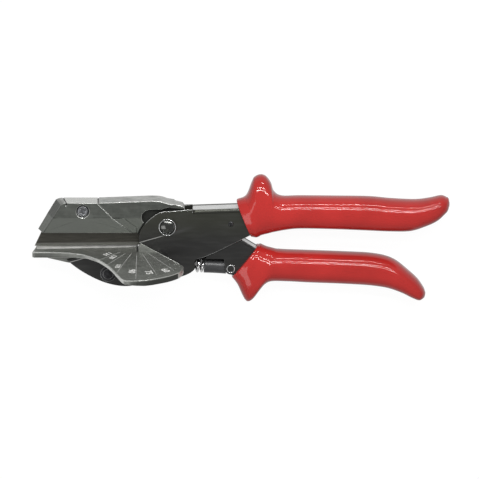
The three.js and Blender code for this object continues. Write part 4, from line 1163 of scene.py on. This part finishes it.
def pin_surface(radius, half, at, dome=ON_AXIS):
    """Plain pin across the middle plane with domed ends, in metres."""
    side = np.array([[radius, half], [radius * 0.7, half + dome * 0.8], [ON_AXIS, half + dome]])
    return headed(np.vstack([(side * [1, -1])[::-1], side]) / MM, at, MIDDLE, 0.1 * MM, 40)


class MITRE_OT_pivot(bpy.types.Operator):
    """Add the pivot bolt and dress the bush, washer and nut"""

    bl_idname = "mitre.pivot"
    bl_label = "Pivot"

    def execute(self, context):
        s = context.scene.mitre_fittings
        bright = polished_steel("polished_steel", tuple(s.bright), 0.16)
        ring = headed(BOLT_RING, PIVOT, FACE, 0.1 * MM, 72)
        shank = rings(turned_grid(np.array(BOLT_SHANK) * MM + [0, MIDDLE], PIVOT, 48), 0.0)
        add_piece("pivot_bolt_ring", joined(ring, shank), bright, "anvil_lever", "bright_steel", "pivot_bolt")
        dome = rings(turned_grid(np.array(BOLT_DOME) * MM + [0, FACE], PIVOT, 72), 0.0)
        # painted reflection: the dome is made dark, as if it mirrored dark surroundings
        gloss = polished_steel("dome_painted_reflection", DOME_DARK_REFLECTION, 0.13)
        add_piece("pivot_bolt_dome", dome, gloss, "anvil_lever", "bright_steel")
        dress(polished_steel("plated_steel", PLATED_STEEL, 0.3), "pivot_washer", "pivot_nut")
        dress(polished_steel("bush_bronze", BRONZE, 0.35), "pivot_bush")
        return {"FINISHED"}


class MITRE_OT_screws(bpy.types.Operator):
    """Add the clamp screw, the table screw and rivet, and the hollow spring rivet"""

    bl_idname = "mitre.screws"
    bl_label = "Screws and rivets"

    def execute(self, context):
        s = context.scene.mitre_fittings
        bright = polished_steel("hollow_rivet_steel", tuple(s.bright), 0.22)
        dark = dark_fitting("blackened_steel", tuple(s.dark))
        screw = headed(TABLE_SCREW_SIDE, TABLE_SCREW, FACE)
        add_piece("table_screw_head", screw, dark, "anvil_lever", "dark_steel", "table_screw")
        rivet = headed(TABLE_RIVET_SIDE, TABLE_RIVET)
        add_piece("table_rivet_heads", rivet, dark, "anvil_lever", "dark_steel", "table_rivet")
        dress(dark, "table_nut")
        steel = dark_fitting("screw_steel", SCREW_STEEL)
        add_piece("cross_clamp_screw", cross_screw(), steel, "blade_lever", "bright_steel", "clamp_screw")
        wall = eased(np.array(HOLLOW_RIVET_WALL) * MM, 0.2 * MM) + [0, MIDDLE]
        hollow = rings(turned_grid(wall, SPRING_TO, 48), 0.0, looped=True)
        add_piece("hollow_spring_rivet", hollow, bright, "blade_lever", "bright_steel", "spring_rivet")
        return {"FINISHED"}


# Opening spring

WIRE_START = 1.5 * MM
WIRE_GAP = 2.2 * MM
WIRE_LEAD = 1.32 * MM
COIL_WIDTH = 6.6 * MM
COIL_FLARE = 0.9 * MM
CURL_STEPS, WIRE_SIDES = 28, 10
SWELL_CURLS = 0.75
FLARED_CURLS = 2.2, 1.7
ANCHOR_RADIUS, ANCHOR_HALF = 1.2 * MM, CHEEK_OUT - 0.4 * MM
SLEEVE_GAP = 2.5 * MM
SLEEVE_LENGTH = 12 * MM
SLEEVE_OUT, SLEEVE_IN, SLEEVE_WAIST = 4.05 * MM, 3.6 * MM, 0.1 * MM


def along_spring(points):
    """Points (along, side, up) of the spring's own line in the frame."""
    direction = unit(SPRING_TO - SPRING_FROM)
    across = np.array([-direction[1], direction[0]])
    flat = SPRING_FROM + points[:, :1] * direction + points[:, 1:2] * across
    return np.column_stack([flat, MIDDLE + points[:, 2]])


def spring_surface(thickness, curls):
    """One wire: straight out of the anchor, then a helix whose radius swells over three quarters of a
    curl at each end and is wider by a flare over the curls outside the sleeve, then straight on."""
    start, end = WIRE_START, SPRING_LENGTH - WIRE_GAP
    along = np.linspace(0, 1, curls * CURL_STEPS + 1)
    turn = 2 * math.pi * curls * along
    swell = np.minimum(1, curls * np.minimum(along, 1 - along) / SWELL_CURLS)
    flare = COIL_FLARE * ramp(curls * along, *FLARED_CURLS)
    radius = ((COIL_WIDTH - thickness) / 2 + flare) * np.sin(swell * math.pi / 2)
    radial = np.column_stack([np.zeros(len(turn)), np.sin(turn), np.cos(turn)])
    helix = radial * radius[:, None]
    helix[:, 0] = start + WIRE_LEAD + (end - start - 2 * WIRE_LEAD) * along
    first, last = [[start, 0, 0], [start + WIRE_LEAD / 2, 0, 0]], [[end - WIRE_LEAD / 2, 0, 0], [end, 0, 0]]
    out = np.vstack([radial[[0, 0]], radial, radial[[-1, -1]]])
    return moved(wire(np.vstack([first, helix, last]), out, thickness / 2, WIRE_SIDES), along_spring)


def sleeve_surface(steps=14):
    """Tube round the spring's far half: its wall section, with a slight waist, carried round the spring's
    line."""
    end = SPRING_LENGTH - SLEEVE_GAP
    run = np.linspace(0, 1, steps)
    waist = SLEEVE_OUT - SLEEVE_WAIST * np.sin(math.pi * run)
    outside = np.column_stack([waist, end - SLEEVE_LENGTH * (1 - run)])
    inside = np.column_stack([np.full(steps, SLEEVE_IN), end - SLEEVE_LENGTH * run])
    grid = turned_grid(np.vstack([outside, inside]), PIVOT, 40)[..., [2, 0, 1]]
    return moved(rings(grid, 0.0, looped=True), along_spring)


class MITRE_OT_spring(bpy.types.Operator):
    """Add the opening spring and its sleeve"""

    bl_idname = "mitre.spring"
    bl_label = "Opening spring"

    def execute(self, context):
        s = context.scene.mitre_fittings
        chrome = polished_steel("spring_chrome", CHROME, 0.12)
        spring = spring_surface(s.wire, s.curls)
        wound = add_piece("wound_spring", spring, chrome, "spring_coil", "bright_steel", "opening_spring")
        rubber = plain_skin("sleeve_rubber", RUBBER, 0.3, 1400.0, 0.04 * MM)
        tube = sleeve_surface()
        sleeve = add_piece("rubber_sleeve", tube, rubber, "sleeve", "black_rubber", "spring_sleeve")
        foot, tip = along_spring(np.array([[WIRE_START, 0, 0], [SPRING_LENGTH - SLEEVE_GAP, 0, 0]]))
        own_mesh(wound)
        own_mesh(sleeve)
        anchor = pin_surface(ANCHOR_RADIUS, ANCHOR_HALF, SPRING_FROM)
        look = dark_fitting("anchor_pin_steel", tuple(s.dark))
        add_piece("flush_anchor_pin", anchor, look, "anvil_lever", "dark_steel", "spring_anchor_pin")
        return {"FINISHED"}


# Latch

TURNING_RADIUS, TURNING_HALF, TURNING_DOME = 1.5 * MM, CHEEK_OUT + 0.15 * MM, 0.5 * MM
CATCH_RADIUS, CATCH_HALF = 1.2 * MM, INNER_OUT - 0.3 * MM


class MITRE_OT_latch(bpy.types.Operator):
    """Dress the latch: hook, thumb lever, turning pin and catch pin"""

    bl_idname = "mitre.latch"
    bl_label = "Latch"

    def execute(self, context):
        s = context.scene.mitre_fittings
        look = dark_fitting("latch_steel", tuple(s.dark))
        dress(look, "latch_hook", "latch_lever")
        pin = pin_surface(TURNING_RADIUS, TURNING_HALF, LATCH_PIN, TURNING_DOME)
        add_piece("domed_latch_pin", pin, look, "latch", "dark_steel", "latch_pin")
        catch = pin_surface(CATCH_RADIUS, CATCH_HALF, CATCH_PIN)
        add_piece("flush_catch_pin", catch, look, "blade_lever", "dark_steel", "catch_pin")
        return {"FINISHED"}


# Stage

AIM = (0.03, -0.005, 0.01)
LAMPS = {
    "upper_strip": ((0.1, 0.56, 0.7), (0.9, 0.03), 3.0),
    "lower_strip": ((0.1, 0.4, 0.8), (0.9, 0.03), 3.0),
    "edge_strip": ((0.14, 0.8, 0.32), (0.5, 0.02), 1.6),
    "side_panel": ((-0.5, -0.25, 0.8), (0.5, 0.5), 1.6),
}
FLOOR_SIZE, FLOOR_HEIGHT, FLOOR_GLOW, FLOOR_SHADE = 6.0, -0.6 * MM, 0.95, 0.08
MIRRORED = 0.6
SENSOR = 36.0
VIEW_X, VIEW_DROP = 38.85 * MM, 8.39 * MM


def stage_plane(name, size, height, strength, shade):
    """A level square under the tool whose colour also shines to the camera and to mirrors, so that it is
    white and keeps its shadow."""
    mesh = bpy.data.meshes.new(name)
    corners = np.array([[-1, -1], [1, -1], [1, 1], [-1, 1]]) * size
    mesh.from_pydata([[*c, height] for c in corners.tolist()], [], [[0, 1, 2, 3]])
    plane = bpy.data.objects.new(name, mesh)
    bpy.context.scene.collection.objects.link(plane)
    look = Look(name + "_paper")
    camera, through, mirror = (
        look.node("ShaderNodeLightPath", {}, f"Is {ray} Ray") for ray in ("Camera", "Transmission", "Glossy")
    )
    seen = camera + through + mirror * MIRRORED
    values = {"Base Color": (shade, shade, shade, 1), "Roughness": 0.9, "Specular IOR Level": 0.0,
              "Emission Color": (1, 1, 1, 1), "Emission Strength": seen.least(1.0) * strength}
    for socket, value in values.items():
        look.feed(socket, value)
    mesh.materials.append(look.material)


def add_lamp(name, place, aim, size, power):
    """A square area lamp that faces a point."""
    data = bpy.data.lights.new(name, "AREA")
    data.shape = "RECTANGLE"
    data.size, data.size_y = size
    data.energy = power
    lamp = bpy.data.objects.new(name, data)
    direction = Vector(aim) - Vector(place)
    lamp.matrix_world = Matrix.Translation(place) @ direction.to_track_quat("-Z", "Y").to_matrix().to_4x4()
    bpy.context.scene.collection.objects.link(lamp)


class MITRE_OT_stage(bpy.types.Operator):
    """Add the floor, the lamps and the camera"""

    bl_idname = "mitre.stage"
    bl_label = "Stage"

    def execute(self, context):
        s = context.scene.mitre_stage
        stage_plane("floor", FLOOR_SIZE, FLOOR_HEIGHT, FLOOR_GLOW, FLOOR_SHADE)
        world = bpy.data.worlds.new("studio")
        world.use_nodes = True
        background = world.node_tree.nodes["Background"]
        background.inputs["Color"].default_value = (1, 1, 1, 1)
        seen = world.node_tree.nodes.new("ShaderNodeLightPath")
        strength = world.node_tree.nodes.new("ShaderNodeMath")
        strength.operation = "MULTIPLY_ADD"
        strength.inputs[1].default_value = 1 - s.light
        strength.inputs[2].default_value = s.light
        world.node_tree.links.new(seen.outputs["Is Camera Ray"], strength.inputs[0])
        world.node_tree.links.new(strength.outputs[0], background.inputs["Strength"])
        context.scene.world = world
        for name, (place, size, power) in LAMPS.items():
            add_lamp(name, place, AIM, size, power)
        context.scene.view_settings.view_transform = "Standard"

        lean = Matrix.Rotation(-s.tilt, 4, "X")
        up, back = lean @ Vector((0, 1, 0)), lean @ Vector((0, 0, 1))
        target = Vector((VIEW_X, 0, MIDDLE)) - up * VIEW_DROP
        data = bpy.data.cameras.new("camera")
        data.sensor_width = SENSOR
        data.lens = SENSOR * s.distance / s.width
        data.clip_end = 20.0
        camera = bpy.data.objects.new("camera", data)
        camera.matrix_world = Matrix.Translation(target + back * s.distance) @ lean
        context.scene.collection.objects.link(camera)
        context.scene.camera = camera
        return {"FINISHED"}


PIECE_OPERATORS = (
    MITRE_OT_grips,
    MITRE_OT_levers,
    MITRE_OT_head,
    MITRE_OT_table,
    MITRE_OT_scale,
    MITRE_OT_pivot,
    MITRE_OT_screws,
    MITRE_OT_spring,
    MITRE_OT_latch,
    MITRE_OT_stage,
)

SETTINGS = {
    "mitre_grips": GripSettings,
    "mitre_levers": LeverSettings,
    "mitre_castings": CastingSettings,
    "mitre_scale": ScaleSettings,
    "mitre_fittings": FittingSettings,
    "mitre_stage": StageSettings,
}


class MITRE_PT_panel(bpy.types.Panel):
    """Lists the operators and the sizes and colours they use"""

    bl_idname = "MITRE_PT_panel"
    bl_label = "Mitre shears"
    bl_space_type = "VIEW_3D"
    bl_region_type = "UI"
    bl_category = "Mitre shears"

    def draw(self, context):
        for operator in PIECE_OPERATORS:
            self.layout.operator(operator.bl_idname)
        for name, settings in SETTINGS.items():
            box = self.layout.box()
            for key in settings.__annotations__:
                box.prop(getattr(context.scene, name), key)


def register():
    for settings in SETTINGS.values():
        bpy.utils.register_class(settings)
    for operator in PIECE_OPERATORS:
        bpy.utils.register_class(operator)
    bpy.utils.register_class(MITRE_PT_panel)
    for name, settings in SETTINGS.items():
        setattr(bpy.types.Scene, name, PointerProperty(type=settings))


def unregister():
    for name in SETTINGS:
        delattr(bpy.types.Scene, name)
    bpy.utils.unregister_class(MITRE_PT_panel)
    for operator in reversed(PIECE_OPERATORS):
        bpy.utils.unregister_class(operator)
    for settings in SETTINGS.values():
        bpy.utils.unregister_class(settings)


def main():
    register()
    for operator in PIECE_OPERATORS:
        group, call = operator.bl_idname.split(".")
        getattr(getattr(bpy.ops, group), call)()


if __name__ == "__main__":
    main()
